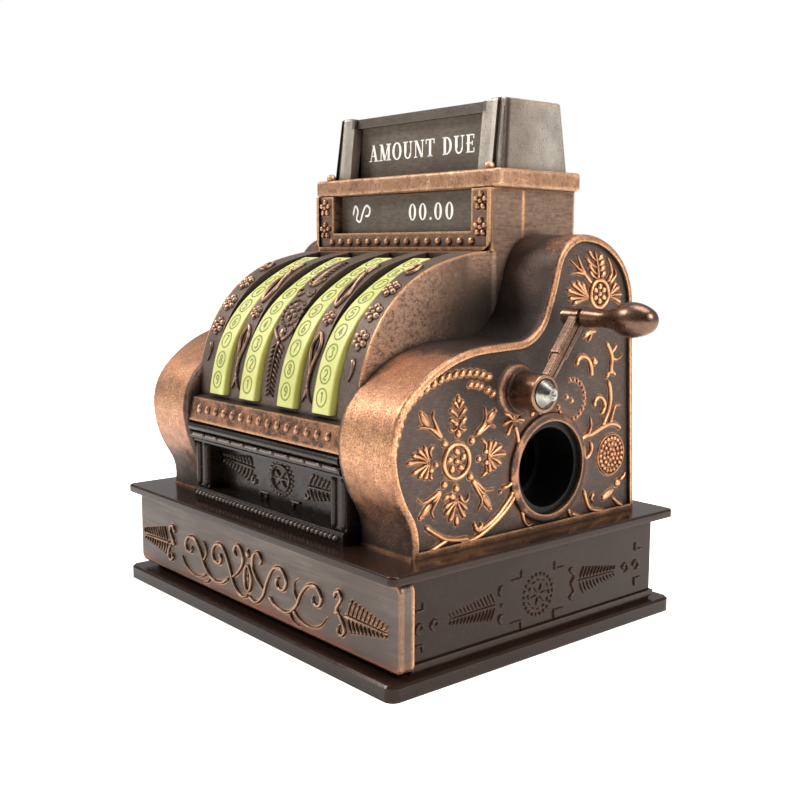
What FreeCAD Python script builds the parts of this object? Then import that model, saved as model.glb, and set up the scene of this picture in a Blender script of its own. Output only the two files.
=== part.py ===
import FreeCAD, Part
import math
import os

# A die-cast miniature cash register with a pencil sharpener inside it.
# Millimetres.  X is across the front, +Y runs to the back, +Z is up.
# The origin is the centre of the base's underside.
# Side outlines are written as (depth, height).  Depth counts backwards from a plane that is
# HALF_DEPTH in front of the centre, which is just behind the base's front edge.

V = FreeCAD.Vector
X_AXIS = V(1, 0, 0)
Y_AXIS = V(0, 1, 0)
Z_AXIS = V(0, 0, 1)

# Driving dimensions
BASE_WIDTH = 57.9
BASE_DEPTH = 47.0
HALF_DEPTH = 23.2
PLATE_THICK = 1.75
PLATE_SPAN = (HALF_DEPTH - BASE_DEPTH / 2, HALF_DEPTH + BASE_DEPTH / 2)
PLATE_CORNER_R = 1.2
PLATE_CHAMFER = 0.25

# Base box and its deck
BOX_HALF = 27.4
BOX_FRONT = 3.5
BOX_BACK = 44.0
BOX_WALL = 1.4
DECK_HALF = 29.05
DECK_SPAN = (-0.2, 46.6)
DECK_LOW = 12.35
DECK_TOP = 13.35
DECK_SOLE = 11.75
DECK_CORNER_R = 0.9
DECK_EDGE_R = 0.3
SKIRT_PROUD = 0.35
SKIRT_Z = (2.1, 2.85)
CORNER_POST_X = 24.2
CORNER_POST_R = 1.75
CHUTE_X = (-8.0, 13.0)
CHUTE_DEPTH = (16.5, 35.5)

# Drawer
DRAWER_FRONT_HALF = 28.45
DRAWER_FRONT = (1.4, 3.2)
DRAWER_FRONT_Z = (2.35, 12.05)
DRAWER_CORNER_R = 1.0
DRAWER_EDGE_R = 0.35
TRAY_HALF = 22.0
TRAY_BACK = 38.5
TRAY_WALL = 1.0
TRAY_LOW = 2.05
TRAY_TOP = 10.5
STOP_HALF = 7.0
STOP_RIB_Z = 10.9
STOP_RIB_DEPTH = (6.0, 7.0)
STOP_LIP_TOP = 11.45
GUIDE_GAP = 0.3
GUIDE_THICK = 0.8
GUIDE_DEPTH = (8.5, 39.0)
GUIDE_TALL = 1.5

# Housing
CHEEK_IN = 16.4
DRUM_HALF = 17.05
CHEEK_OUT = 25.66
RIM = 0.8
RIM_EDGE_R = 0.45
LOBE_EDGE_R = 0.6
PANEL_SINK = 0.46
SHELL = 1.5
CHEEK_HOLLOW = (18.6, 23.6)
CENTRE_HOLLOW = 15.0
TOWER_HALF = 17.4
TOWER_FRONT = 24.7
TOWER_BACK = 39.35
TOWER_TOP = 53.25
TOWER_FLOOR = 48.0
WAIST_CORNER_R = 1.0
BEZEL_LOW = 45.8
SEAM_DEPTH = 30.0
WINDOW_HALF = 13.85
WINDOW_LOW = 48.17
REAR_WALL = 39.9
REAR_HALF = 14.9
REAR_STEP = (43.0, 44.0)
LUG_HALF = 2.2
LUG_DEPTH = (34.6, 37.5)
BORDER_PROUD = 0.35
BORDER_WIDTH = 0.5
BORDER_CORNER_R = 1.6

# The cheek's outline: one smooth chain of arcs from the foot, over the lobe, along the
# shelf, over the dome and down the back
CHEEK_HEADING = 76.0
CHEEK_STOPS = (
    (5.25, DECK_TOP), (4.43, 18.0), (2.25, 24.6), (4.4, 30.3), (10.5, 34.35), (16.0, 35.5),
    (21.0, 35.7), (25.3, 38.7), (27.0, 43.9), (31.9, 47.75), (38.4, 45.4), (41.3, 39.6),
    (42.75, DECK_TOP),
)

# The key drum's outline, from the ledge up to the tower
DRUM_HEADING = 89.0
DRUM_STOPS = ((4.55, 27.0), (6.9, 36.24), (10.17, 40.58), (16.78, 44.4), (21.9, 45.6))
LEDGE_FACE = ((3.3, 26.7), (2.7, 23.7))
PANEL_WALL = 8.0
LEDGE_UNDER = 23.6

# Key strips
STRIP_CENTRES = (-11.31, -4.17, 4.17, 11.31)
STRIP_WIDTH = 4.3
STRIP_EDGE_R = 0.8
STRIP_HEADING = 84.0
STRIP_STOPS = ((3.8, 27.0), (4.84, 32.26), (7.1, 36.9), (10.6, 40.45), (16.9, 44.1), (19.0, 44.9))
STRIP_GAP = 0.1
CARRIER_HALF = 14.4
CARRIER_THICK = 0.8
STRIP_LOW = 27.5

# Front panel
PANEL_GAP = 0.1
PANEL_FIELD = 6.0
PANEL_FIELD_HALF = 13.4
PANEL_FIELD_Z = (14.8, 20.9)
PANEL_POST = 3.8
PANEL_HEAD = 2.8
RAIL_R = 0.55
COVE_R = 0.6
PEG_X = 8.0
PEG_Z = 18.0
PEG_R = 0.9

# Sign topper and cornice
CORNICE_HALF = 18.35
CORNICE_DEPTH = (24.75, 39.8)
CORNICE_TOP = 55.5
TOPPER_FOOT = (16.6, 26.8, 39.0)
TOPPER_HEAD = (16.1, 27.7, 38.1)
TOPPER_TOP = 64.1
TOPPER_WALL = 1.3
TOPPER_BAR = (13.9, 63.85)
SIGN_HALF = 12.7
SIGN_TOP = 62.6
POST_PROUD = 0.4
NUB_R = 0.65
NUB_X = 15.7

# Pencil port and sharpener
PORT_DEPTH = 26.72
PORT_Z = 20.62
PORT_R = 5.55
PORT_LIP_R = 6.5
SLEEVE_R = 5.5
SLEEVE_BORE = 4.75
SLEEVE_X = (19.5, 25.1)
PENCIL_R = 4.05
PENCIL_LEAD_IN = 6.0
CONE_ANGLE = 10.5
SHARPENER_END = -6.0

# Crank
CRANK_DEPTH = 21.12
CRANK_Z = 30.22
BOSS_R = 2.5
BOSS_OUT = 26.4
HUB_R = 2.17
HUB_X = (26.45, 29.6)
HUB_RECESS_R = 1.75
HUB_RECESS_X = 29.0
RIVET_R = 0.9
RIVET_HEAD_R = 1.6
RIVET_TIP_R = 0.67
RIVET_CONE = 1.15
KNOB_DEPTH = 27.45
KNOB_Z = 38.42
ARM_X = (28.2, 29.3)
ARM_NARROW = 1.3
ARM_WIDE = 1.75
ARM_STEP = 0.48
END_BOSS_R = 1.02
END_BOSS_X = (26.9, 29.18)
GRIP_START = 29.38
GRIP_PIN_R = 0.45
RUNNING_GAP = 0.05

# Fasteners
SCREW_R = 0.75
SCREW_HEAD_R = 1.5
SCREW_HEAD = 0.7
SLOT_WIDTH = 0.36
SLOT_DEEP = 0.35
PILOT_GAP = 0.03


def point(depth, height, x=0.0):
    """A point of the part, from its depth and height."""
    return V(x, depth - HALF_DEPTH, height)


def box(x, depth, z):
    """A box from three (low, high) pairs."""
    corner = point(depth[0], z[0], x[0])
    return Part.makeBox(x[1] - x[0], depth[1] - depth[0], z[1] - z[0], corner)


def rod(radius, x, depth, height):
    """A cylinder along X between x[0] and x[1]."""
    return Part.makeCylinder(radius, x[1] - x[0], point(depth, height, x[0]), X_AXIS)


def post(radius, x, depth, z):
    """An upright cylinder between z[0] and z[1]."""
    return Part.makeCylinder(radius, z[1] - z[0], point(depth, z[0], x), Z_AXIS)


def stud(radius, x, depth, height):
    """A cylinder along Y between depth[0] and depth[1]."""
    return Part.makeCylinder(radius, depth[1] - depth[0], point(depth[0], height, x), Y_AXIS)


def mirrored(shape):
    """The same piece on the other side of the centre plane."""
    return shape.mirror(V(0, 0, 0), X_AXIS)


def both(shape):
    """A piece and its mirror image as two solids."""
    return [shape, mirrored(shape)]


def joined(first, *others):
    """One solid from several that touch or overlap."""
    shape = first.fuse(list(others))
    return shape.removeSplitter()


def group(solids):
    """Separate identical pieces that share one node."""
    return Part.makeCompound(solids)


def smooth_chain(heading, stops):
    """Nodes (depth, height, heading) of arcs that follow each other without a corner."""
    nodes = [(stops[0][0], stops[0][1], heading)]
    for depth, height in stops[1:]:
        last_depth, last_height, last_heading = nodes[-1]
        chord = math.degrees(math.atan2(height - last_height, depth - last_depth))
        nodes.append((depth, height, 2 * chord - last_heading))
    return nodes


def shifted(nodes, gap):
    """The chain moved outwards by gap, or inwards when gap is negative."""
    moved = []
    for depth, height, heading in nodes:
        angle = math.radians(heading)
        moved.append((depth - gap * math.sin(angle), height + gap * math.cos(angle), heading))
    return moved


def edge_between(start, end, place=point):
    """The arc from one node of a chain to the next; place turns a pair into a point."""
    d0, h0, a0 = start
    d1, h1, a1 = end
    length = math.hypot(d1 - d0, h1 - h0)
    sag = length / 2 * math.tan(math.radians(a1 - a0) / 4)
    across = ((h1 - h0) / length, (d0 - d1) / length)
    middle = place((d0 + d1) / 2 + sag * across[0], (h0 + h1) / 2 + sag * across[1])
    return Part.Arc(place(d0, h0), middle, place(d1, h1)).toShape()


def arc_edges(nodes):
    """One arc for each step of a chain."""
    return [edge_between(start, end) for start, end in zip(nodes, nodes[1:])]


def face_of(nodes, corners):
    """A face bounded by a chain of arcs and then straight lines through the corners."""
    edges = arc_edges(nodes)
    stops = [nodes[-1][:2], *corners, nodes[0][:2]]
    for start, end in zip(stops, stops[1:]):
        edges.append(Part.makeLine(point(*start), point(*end)))
    return Part.Face(Part.Wire(edges))


def slab(face, x0, x1):
    """A side outline made into a solid between two X values."""
    shape = face.extrude(V(x1 - x0, 0, 0))
    shape.translate(V(x0, 0, 0))
    return shape


def rounded(shape, radius, wanted):
    """The shape with a fillet on each edge that wanted(edge) picks."""
    edges = [edge for edge in shape.Edges if wanted(edge)]
    return shape.makeFillet(radius, edges)


def upright(edge):
    """True for a straight vertical edge."""
    ends = [vertex.Point for vertex in edge.Vertexes]
    level = math.hypot(ends[0].x - ends[-1].x, ends[0].y - ends[-1].y)
    return len(ends) == 2 and level < 1e-6


def leaning(edge):
    """True for an edge that climbs, straight up or nearly so."""
    ends = [vertex.Point for vertex in edge.Vertexes]
    return len(ends) == 2 and abs(ends[0].z - ends[1].z) > 1.0


def along_y(edge):
    """True for an edge that runs front to back."""
    return abs(edge.Vertexes[0].Point.y - edge.Vertexes[-1].Point.y) > 0.1


def at_depth(depth):
    """Picks the edges that lie at one depth."""
    def wanted(edge):
        return all(abs(vertex.Point.y - depth + HALF_DEPTH) < 1e-6 for vertex in edge.Vertexes)
    return wanted


def at_height(height):
    """Picks the edges that lie at one height."""
    def wanted(edge):
        return all(abs(vertex.Point.z - height) < 1e-6 for vertex in edge.Vertexes)
    return wanted


def screw(x, depth, head_z, length, up=True):
    """A pan-head screw that stands upright, its head below when up is true."""
    sign = 1 if up else -1
    base = point(depth, head_z, x)
    head = Part.makeCylinder(SCREW_HEAD_R, SCREW_HEAD, base, V(0, 0, -sign))
    shank = Part.makeCylinder(SCREW_R, length, base, V(0, 0, sign))
    outer = head_z - sign * SCREW_HEAD
    slot = box((x - SCREW_HEAD_R, x + SCREW_HEAD_R), (depth - SLOT_WIDTH / 2, depth + SLOT_WIDTH / 2),
               (outer - SLOT_DEEP, outer + SLOT_DEEP))
    return joined(head, shank).cut(slot)


def back_screw(x, height, seat, tip):
    """A pan-head screw along Y, its head behind the seat plane and its tip in front."""
    head = stud(SCREW_HEAD_R, x, (seat, seat + SCREW_HEAD), height)
    shank = stud(SCREW_R, x, (tip, seat), height)
    slot = box((x - SCREW_HEAD_R, x + SCREW_HEAD_R), (seat + SCREW_HEAD - SLOT_DEEP, seat + 1),
               (height - SLOT_WIDTH / 2, height + SLOT_WIDTH / 2))
    return joined(head, shank).cut(slot)


def under(height):
    """The part of a side plane that lies below one height, for trimming an outline."""
    corners = [point(0, 0), point(BASE_DEPTH, 0), point(BASE_DEPTH, height), point(0, height)]
    return Part.Face(Part.makePolygon(corners + corners[:1]))


def ribbon(outer, inner):
    """A face between two chains that run side by side."""
    edges = arc_edges(outer) + arc_edges(inner)
    for end in (0, -1):
        edges.append(Part.makeLine(point(*outer[end][:2]), point(*inner[end][:2])))
    return Part.Face(Part.Wire(Part.__sortEdges__(edges)))


# ---------------------------------------------------------------- base

BASE_SCREW_SPOTS = ((CORNER_POST_X, 6.6), (CORNER_POST_X, 40.9))
DECK_SCREW_SPOTS = ((21.1, 11.0), (21.1, 38.0))
DECK_POST_R = 2.6


def bottom_plate():
    """The flat lid under the base, with two ribs that guide the drawer."""
    plate = box((-BASE_WIDTH / 2, BASE_WIDTH / 2), PLATE_SPAN, (0, PLATE_THICK))
    plate = rounded(plate, PLATE_CORNER_R, upright)
    top_edges = [edge for edge in plate.Edges if at_height(PLATE_THICK)(edge)]
    plate = plate.makeChamfer(PLATE_CHAMFER, top_edges)
    rib_x = TRAY_HALF + GUIDE_GAP
    rib = box((rib_x, rib_x + GUIDE_THICK), GUIDE_DEPTH, (PLATE_THICK, PLATE_THICK + GUIDE_TALL))
    plate = joined(plate, *both(rib))
    for x, depth in BASE_SCREW_SPOTS:
        for side in (-x, x):
            head = post(SCREW_HEAD_R + 0.1, side, depth, (-0.1, SCREW_HEAD + 0.1))
            hole = post(SCREW_R + PILOT_GAP, side, depth, (0, PLATE_THICK + 1))
            plate = plate.cut(head).cut(hole)
    return plate


def bottom_plate_screws():
    """Four screws up through the bottom plate into the base box's corner posts."""
    pieces = []
    for x, depth in BASE_SCREW_SPOTS:
        pieces += both(screw(x, depth, SCREW_HEAD + 0.1, 8.0))
    return group(pieces)


def base_box():
    """The dark moulded box that holds the drawer, with the overhanging deck on top."""
    walls = box((-BOX_HALF, BOX_HALF), (BOX_FRONT, BOX_BACK), (PLATE_THICK, DECK_LOW))
    inside = box((-BOX_HALF + BOX_WALL, BOX_HALF - BOX_WALL), (BOX_FRONT - 1, BOX_BACK - BOX_WALL),
                 (PLATE_THICK - 1, DECK_SOLE))
    walls = walls.cut(inside)
    deck = box((-DECK_HALF, DECK_HALF), DECK_SPAN, (DECK_LOW, DECK_TOP))
    deck = rounded(deck, DECK_CORNER_R, upright)
    deck = rounded(deck, DECK_EDGE_R, at_height(DECK_TOP))
    skirt = box((-BOX_HALF - SKIRT_PROUD, BOX_HALF + SKIRT_PROUD),
                (BOX_FRONT, BOX_BACK + SKIRT_PROUD), SKIRT_Z)
    skirt = skirt.cut(inside)
    rib = box((-STOP_HALF, STOP_HALF), STOP_RIB_DEPTH, (STOP_RIB_Z, DECK_SOLE + 0.2))
    shape = joined(walls, deck, skirt, rib)
    for x, depth in BASE_SCREW_SPOTS:
        for side in (-x, x):
            corner_post = post(CORNER_POST_R, side, depth, (PLATE_THICK, DECK_SOLE + 0.2))
            pilot = post(SCREW_R + PILOT_GAP, side, depth, (PLATE_THICK, DECK_LOW - 1.5))
            shape = joined(shape, corner_post).cut(pilot)
    for x, depth in DECK_SCREW_SPOTS:
        for side in (-x, x):
            shape = shape.cut(post(SCREW_R + PILOT_GAP, side, depth, (DECK_SOLE - 1, DECK_TOP + 1)))
    return shape.cut(box(CHUTE_X, CHUTE_DEPTH, (DECK_SOLE - 1, DECK_TOP + 1)))


def deck_screws():
    """Four screws up through the deck into the housing's posts."""
    pieces = []
    for x, depth in DECK_SCREW_SPOTS:
        pieces += both(screw(x, depth, DECK_SOLE, 7.0))
    return group(pieces)


# ---------------------------------------------------------------- drawer

DRAWER_SCREW_X = 12.0
DRAWER_SCREW_Z = 7.0


def drawer_pilots():
    """The two screw holes through the tray's front wall into the drawer front."""
    hole = stud(SCREW_R + PILOT_GAP, DRAWER_SCREW_X, (DRAWER_FRONT[1] - 1, 6), DRAWER_SCREW_Z)
    return both(hole)


def drawer_front():
    """The cast front plate of the drawer, with a shallow frame round its face."""
    x = (-DRAWER_FRONT_HALF, DRAWER_FRONT_HALF)
    plate = box(x, DRAWER_FRONT, DRAWER_FRONT_Z)
    plate = rounded(plate, DRAWER_CORNER_R, along_y)
    plate = rounded(plate, DRAWER_EDGE_R, at_depth(DRAWER_FRONT[0]))
    return plate.cut(drawer_pilots())


def drawer_tray():
    """The open tray behind the drawer front; its back lip meets the stop rib under the deck."""
    outside = box((-TRAY_HALF, TRAY_HALF), (DRAWER_FRONT[1], TRAY_BACK), (TRAY_LOW, TRAY_TOP))
    inside = box((-TRAY_HALF + TRAY_WALL, TRAY_HALF - TRAY_WALL),
                 (DRAWER_FRONT[1] + TRAY_WALL, TRAY_BACK - TRAY_WALL),
                 (TRAY_LOW + TRAY_WALL, TRAY_TOP + 1))
    tray = outside.cut(inside)
    tray = rounded(tray, 0.5, upright)
    lip = box((-STOP_HALF, STOP_HALF), (TRAY_BACK - TRAY_WALL, TRAY_BACK),
              (TRAY_TOP - 0.5, STOP_LIP_TOP))
    return joined(tray, lip).cut(drawer_pilots())


def drawer_screws():
    """Two screws from inside the tray into the drawer front."""
    seat = DRAWER_FRONT[1] + TRAY_WALL
    return group(both(back_screw(DRAWER_SCREW_X, DRAWER_SCREW_Z, seat, DRAWER_FRONT[1] - 0.9)))


# ---------------------------------------------------------------- housing

CHEEK = smooth_chain(CHEEK_HEADING, CHEEK_STOPS)
DRUM = smooth_chain(DRUM_HEADING, DRUM_STOPS)
BELOW_DECK = DECK_TOP - 3
ABOVE_TOWER = TOWER_TOP + 1
REAR_SCREW_SPOTS = ((11.6, 17.6), (11.6, 41.0))


def cheek_blank():
    """The right cheek as a plain block with rounded edges on both its faces."""
    blank = slab(face_of(CHEEK, ()), CHEEK_IN, CHEEK_OUT)
    for face_x, radius in ((CHEEK_OUT, RIM_EDGE_R), (CHEEK_IN, LOBE_EDGE_R)):
        def curved_border(edge):
            ends = [vertex.Point for vertex in edge.Vertexes]
            on_face = all(abs(end.x - face_x) < 1e-6 for end in ends)
            return on_face and max(end.z for end in ends) > DECK_TOP + 0.01
        blank = rounded(blank, radius, curved_border)
    return blank


def cheek_hollow():
    """The space inside the right cheek, open at the bottom."""
    nodes = shifted(CHEEK, -SHELL)
    corners = ((nodes[-1][0], BELOW_DECK), (nodes[0][0], BELOW_DECK))
    return slab(face_of(nodes, corners), *CHEEK_HOLLOW)


def cheek_sink():
    """The shallow recess that leaves a rim round the cheek's decorated face."""
    nodes = shifted(CHEEK, -RIM)
    floor = box((CHEEK_OUT - 1, CHEEK_OUT + 1), (0, BASE_DEPTH), (DECK_TOP - 2, DECK_TOP + 0.7))
    return slab(face_of(nodes, ()), CHEEK_OUT - PANEL_SINK, CHEEK_OUT + 0.1).cut(floor)


def centre_face(inset, top, floor, ledge=()):
    """The side outline of the drum and tower, drawn in by inset, with the ledge's corners."""
    front = TOWER_FRONT + inset
    back = TOWER_BACK - inset
    rear = REAR_WALL - inset
    wall = PANEL_WALL + inset
    corners = (
        (front, BEZEL_LOW - inset), (front, top), (back, top), (back, REAR_STEP[1]),
        (rear, REAR_STEP[0]), (rear, floor), (wall, floor), (wall, LEDGE_UNDER + inset), *ledge,
    )
    return face_of(shifted(DRUM, -inset), corners)


def centre_block():
    """The drum, ledge and tower as one block."""
    face = centre_face(0, TOWER_TOP, DECK_TOP, LEDGE_FACE[::-1])
    x = (-TOWER_HALF, TOWER_HALF)
    depth = (TOWER_FRONT, TOWER_BACK)
    tower = box(x, depth, (BEZEL_LOW, TOWER_TOP))

    def front_corner(edge):
        return upright(edge) and edge.Vertexes[0].Point.y < TOWER_FRONT - HALF_DEPTH + 1
    waist = rounded(box(x, depth, (CHEEK_STOPS[6][1], BEZEL_LOW)), WAIST_CORNER_R, front_corner)
    return joined(slab(face, -DRUM_HALF, DRUM_HALF), tower, waist)


def centre_hollows():
    """The space behind the drum and ledge, and the space inside the tower."""
    behind_drum = slab(centre_face(SHELL, ABOVE_TOWER, BELOW_DECK), -CENTRE_HOLLOW, CENTRE_HOLLOW)
    half = TOWER_HALF - SHELL
    in_tower = box((-half, half), (TOWER_FRONT + SHELL, TOWER_BACK - SHELL), (TOWER_FLOOR, ABOVE_TOWER))
    return [behind_drum, in_tower]


def rear_zone():
    """The space that belongs to the rear cover."""
    wall = box((-REAR_HALF, REAR_HALF), (37.6, BASE_DEPTH), (DECK_TOP - 0.1, 45.0))
    tower = box((-TOWER_HALF - 0.01, TOWER_HALF + 0.01), (SEAM_DEPTH, BASE_DEPTH),
                (REAR_STEP[1], ABOVE_TOWER))
    return joined(wall, tower)


def strip_slots():
    """Four slots through the drum for the key strips."""
    face = ribbon(shifted(DRUM, SHELL), shifted(DRUM, -2 * SHELL))
    face = face.cut(under(STRIP_LOW - STRIP_GAP))
    half = STRIP_WIDTH / 2 + STRIP_GAP
    return [slab(face, x - half, x + half) for x in STRIP_CENTRES]


def bezel_edge():
    """The raised border of the amount window's plate, at the tower's front."""
    half = TOWER_HALF - 0.05
    plate = box((-half, half), (TOWER_FRONT - BORDER_PROUD, TOWER_FRONT + 0.2),
                (BEZEL_LOW, TOWER_TOP))

    def low_corner(edge):
        return along_y(edge) and edge.Vertexes[0].Point.z < BEZEL_LOW + 0.01
    plate = rounded(plate, BORDER_CORNER_R, low_corner)
    inner = half - BORDER_WIDTH
    sunk = box((-inner, inner), (TOWER_FRONT - 1, TOWER_FRONT), (BEZEL_LOW + BORDER_WIDTH, ABOVE_TOWER))
    return plate.cut(sunk)


def pencil_port():
    """The raised lip round the pencil port."""
    lip = rod(PORT_LIP_R, (CHEEK_OUT - PANEL_SINK - 0.5, CHEEK_OUT + 0.1), PORT_DEPTH, PORT_Z)
    edge_x = CHEEK_OUT + 0.1
    return rounded(lip, 0.4, lambda e: abs(e.Vertexes[0].Point.x - edge_x) < 1e-6)


def crank_boss():
    """The round boss that the crank turns against, with a flared foot."""
    boss = rod(BOSS_R, (CHEEK_HOLLOW[1], BOSS_OUT), CRANK_DEPTH, CRANK_Z)
    sunk = CHEEK_OUT - PANEL_SINK
    flare = Part.makeCone(BOSS_R + 0.7, BOSS_R, 0.7, point(CRANK_DEPTH, CRANK_Z, sunk), X_AXIS)
    return joined(boss, flare)


def full_shell():
    """Both cheeks and the centre as one hollow casting, before the rear cover is parted off."""
    cheek = cheek_blank().cut(cheek_sink())
    shape = joined(centre_block(), *both(cheek))
    shape = joined(shape, bezel_edge(), pencil_port(), crank_boss())
    return shape.cut([*centre_hollows(), *both(cheek_hollow())])


def housing_details():
    """Everything that is cut out of the housing after its walls are made."""
    window = box((-WINDOW_HALF, WINDOW_HALF), (TOWER_FRONT - 1, TOWER_FRONT + SHELL + 0.1),
                 (WINDOW_LOW, ABOVE_TOWER))
    port = rod(PORT_R, (CENTRE_HOLLOW - 1, CHEEK_OUT + 1), PORT_DEPTH, PORT_Z)
    crank_bore = rod(RIVET_R + PILOT_GAP, (CHEEK_HOLLOW[1] - 1, BOSS_OUT + 1), CRANK_DEPTH, CRANK_Z)
    peg_hole = stud(PEG_R + RUNNING_GAP, PEG_X, (PANEL_WALL - 1, PANEL_WALL + SHELL + 1), PEG_Z)
    return [window, port, crank_bore, *both(peg_hole), *strip_slots()]


def housing_posts():
    """Screw posts inside the cheeks and lugs for the rear cover, each with its pilot hole."""
    pieces = []
    holes = []
    for x, depth in DECK_SCREW_SPOTS:
        pieces += both(post(DECK_POST_R, x, depth, (DECK_TOP, 21.0)))
        holes += both(post(SCREW_R + PILOT_GAP, x, depth, (DECK_TOP - 1, 19.2)))
    for x, height in REAR_SCREW_SPOTS:
        lug = box((x - LUG_HALF, CENTRE_HOLLOW + 0.5), LUG_DEPTH, (height - LUG_HALF, height + LUG_HALF))
        pieces += both(lug)
        holes += both(stud(SCREW_R + PILOT_GAP, x, (LUG_DEPTH[0] - 1, REAR_WALL), height))
    return pieces, holes


def housing_shell():
    """The main casting: cheeks, key drum, ledge and the front of the tower."""
    posts, holes = housing_posts()
    shape = full_shell().cut(rear_zone())
    shape = joined(shape, *posts)
    return shape.cut(housing_details() + holes)


def rear_cover():
    """The back of the casting: the tower's rear half and the wall between the cheeks."""
    shape = centre_block().common(rear_zone()).cut(centre_hollows())
    for x, height in REAR_SCREW_SPOTS:
        shape = shape.cut(both(stud(SCREW_R + PILOT_GAP, x, (LUG_DEPTH[1] - 1, REAR_WALL + 1), height)))
    return shape


def rear_cover_screws():
    """Four screws through the rear cover into the housing's lugs."""
    pieces = []
    for x, height in REAR_SCREW_SPOTS:
        pieces += both(back_screw(x, height, REAR_WALL, LUG_DEPTH[0] + 0.6))
    return group(pieces)


def front_panel():
    """The glossy moulded panel between the lobes, with its posts, head rail and sill."""
    back = PANEL_WALL - 0.05
    low, top = DECK_TOP, LEDGE_UNDER - 0.05
    wide = (-CHEEK_IN + PANEL_GAP, CHEEK_IN - PANEL_GAP)
    field = box(wide, (PANEL_FIELD, back), (low, top))
    sides = [box((PANEL_FIELD_HALF, wide[1]), (PANEL_POST, back), (low, top)),
             box((wide[0], -PANEL_FIELD_HALF), (PANEL_POST, back), (low, top))]
    head = box(wide, (PANEL_HEAD + 0.5, back), (PANEL_FIELD_Z[1], top))
    rail = rod(RAIL_R, wide, PANEL_HEAD + 0.2, LEDGE_UNDER - 0.7)
    cove = rod(COVE_R, wide, PANEL_HEAD + 0.55, LEDGE_UNDER - 1.85)
    sill = box(wide, (PANEL_HEAD + 0.4, back), (low, PANEL_FIELD_Z[0]))

    def sill_lip(edge):
        in_front = max(vertex.Point.y for vertex in edge.Vertexes) < PANEL_POST - HALF_DEPTH
        return in_front and at_height(PANEL_FIELD_Z[0])(edge)
    sill = rounded(sill, 0.4, sill_lip)
    pegs = both(stud(PEG_R, PEG_X, (back - 0.5, PANEL_WALL + SHELL + 0.3), PEG_Z))
    return joined(field, *sides, head, rail, cove, sill, *pegs)


def rounded_strip(face, x0, x1):
    """One key strip with rounded shoulders along its two long front edges."""
    strip = slab(face, x0, x1)

    def shoulder(edge):
        ends = [vertex.Point for vertex in edge.Vertexes]
        lengthwise = abs(ends[0].x - ends[-1].x) < 1e-6
        spots = [(end.y + HALF_DEPTH, end.z) for end in ends]
        return lengthwise and any(math.dist(spot, stop) < 1e-4
                                  for spot in spots for stop in STRIP_STOPS[1:-1])
    return rounded(strip, STRIP_EDGE_R, shoulder)


def key_strip_insert():
    """One moulding: four raised key strips on a curved carrier behind the drum."""
    seat = shifted(DRUM, -SHELL - STRIP_GAP)
    inner = shifted(DRUM, -SHELL - STRIP_GAP - CARRIER_THICK)
    low_part = under(STRIP_LOW)
    carrier = slab(ribbon(seat, inner).cut(low_part), -CARRIER_HALF, CARRIER_HALF)
    strip_face = ribbon(smooth_chain(STRIP_HEADING, STRIP_STOPS), inner).cut(low_part)
    half = STRIP_WIDTH / 2
    strips = [rounded_strip(strip_face, x - half, x + half) for x in STRIP_CENTRES]
    return joined(carrier, *strips)


# ---------------------------------------------------------------- tower top

CARD_THICK = 0.4
TOPPER_SCREW = (9.0, 34.5)


def tower_cornice():
    """The cast cap on the tower that the sign stands on."""
    plate = box((-CORNICE_HALF, CORNICE_HALF), CORNICE_DEPTH, (TOWER_TOP, CORNICE_TOP))
    plate = rounded(plate, 1.0, upright)
    plate = rounded(plate, 0.4, lambda edge: at_height(CORNICE_TOP)(edge) or at_height(TOWER_TOP)(edge))
    nub = Part.makeSphere(NUB_R, point(TOPPER_FOOT[1] - 1.0, CORNICE_TOP + 0.3, NUB_X))
    plate = joined(plate, *both(nub))
    x, depth = TOPPER_SCREW
    return plate.cut(both(post(SCREW_R + PILOT_GAP, x, depth, (TOWER_TOP - 1, CORNICE_TOP + 1))))


def frustum(foot, head, low, high):
    """A block whose sides lean from the foot outline to the head outline."""
    rings = []
    for (half, front, back), height in ((foot, low), (head, high)):
        corners = [point(front, height, -half), point(front, height, half),
                   point(back, height, half), point(back, height, -half)]
        rings.append(Part.makePolygon(corners + corners[:1]))
    return Part.makeLoft(rings, True, True)


def drawn_in(outline, gap):
    """A (half width, front, back) outline made smaller by gap on every side."""
    half, front, back = outline
    return (half - gap, front + gap, back - gap)


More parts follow.
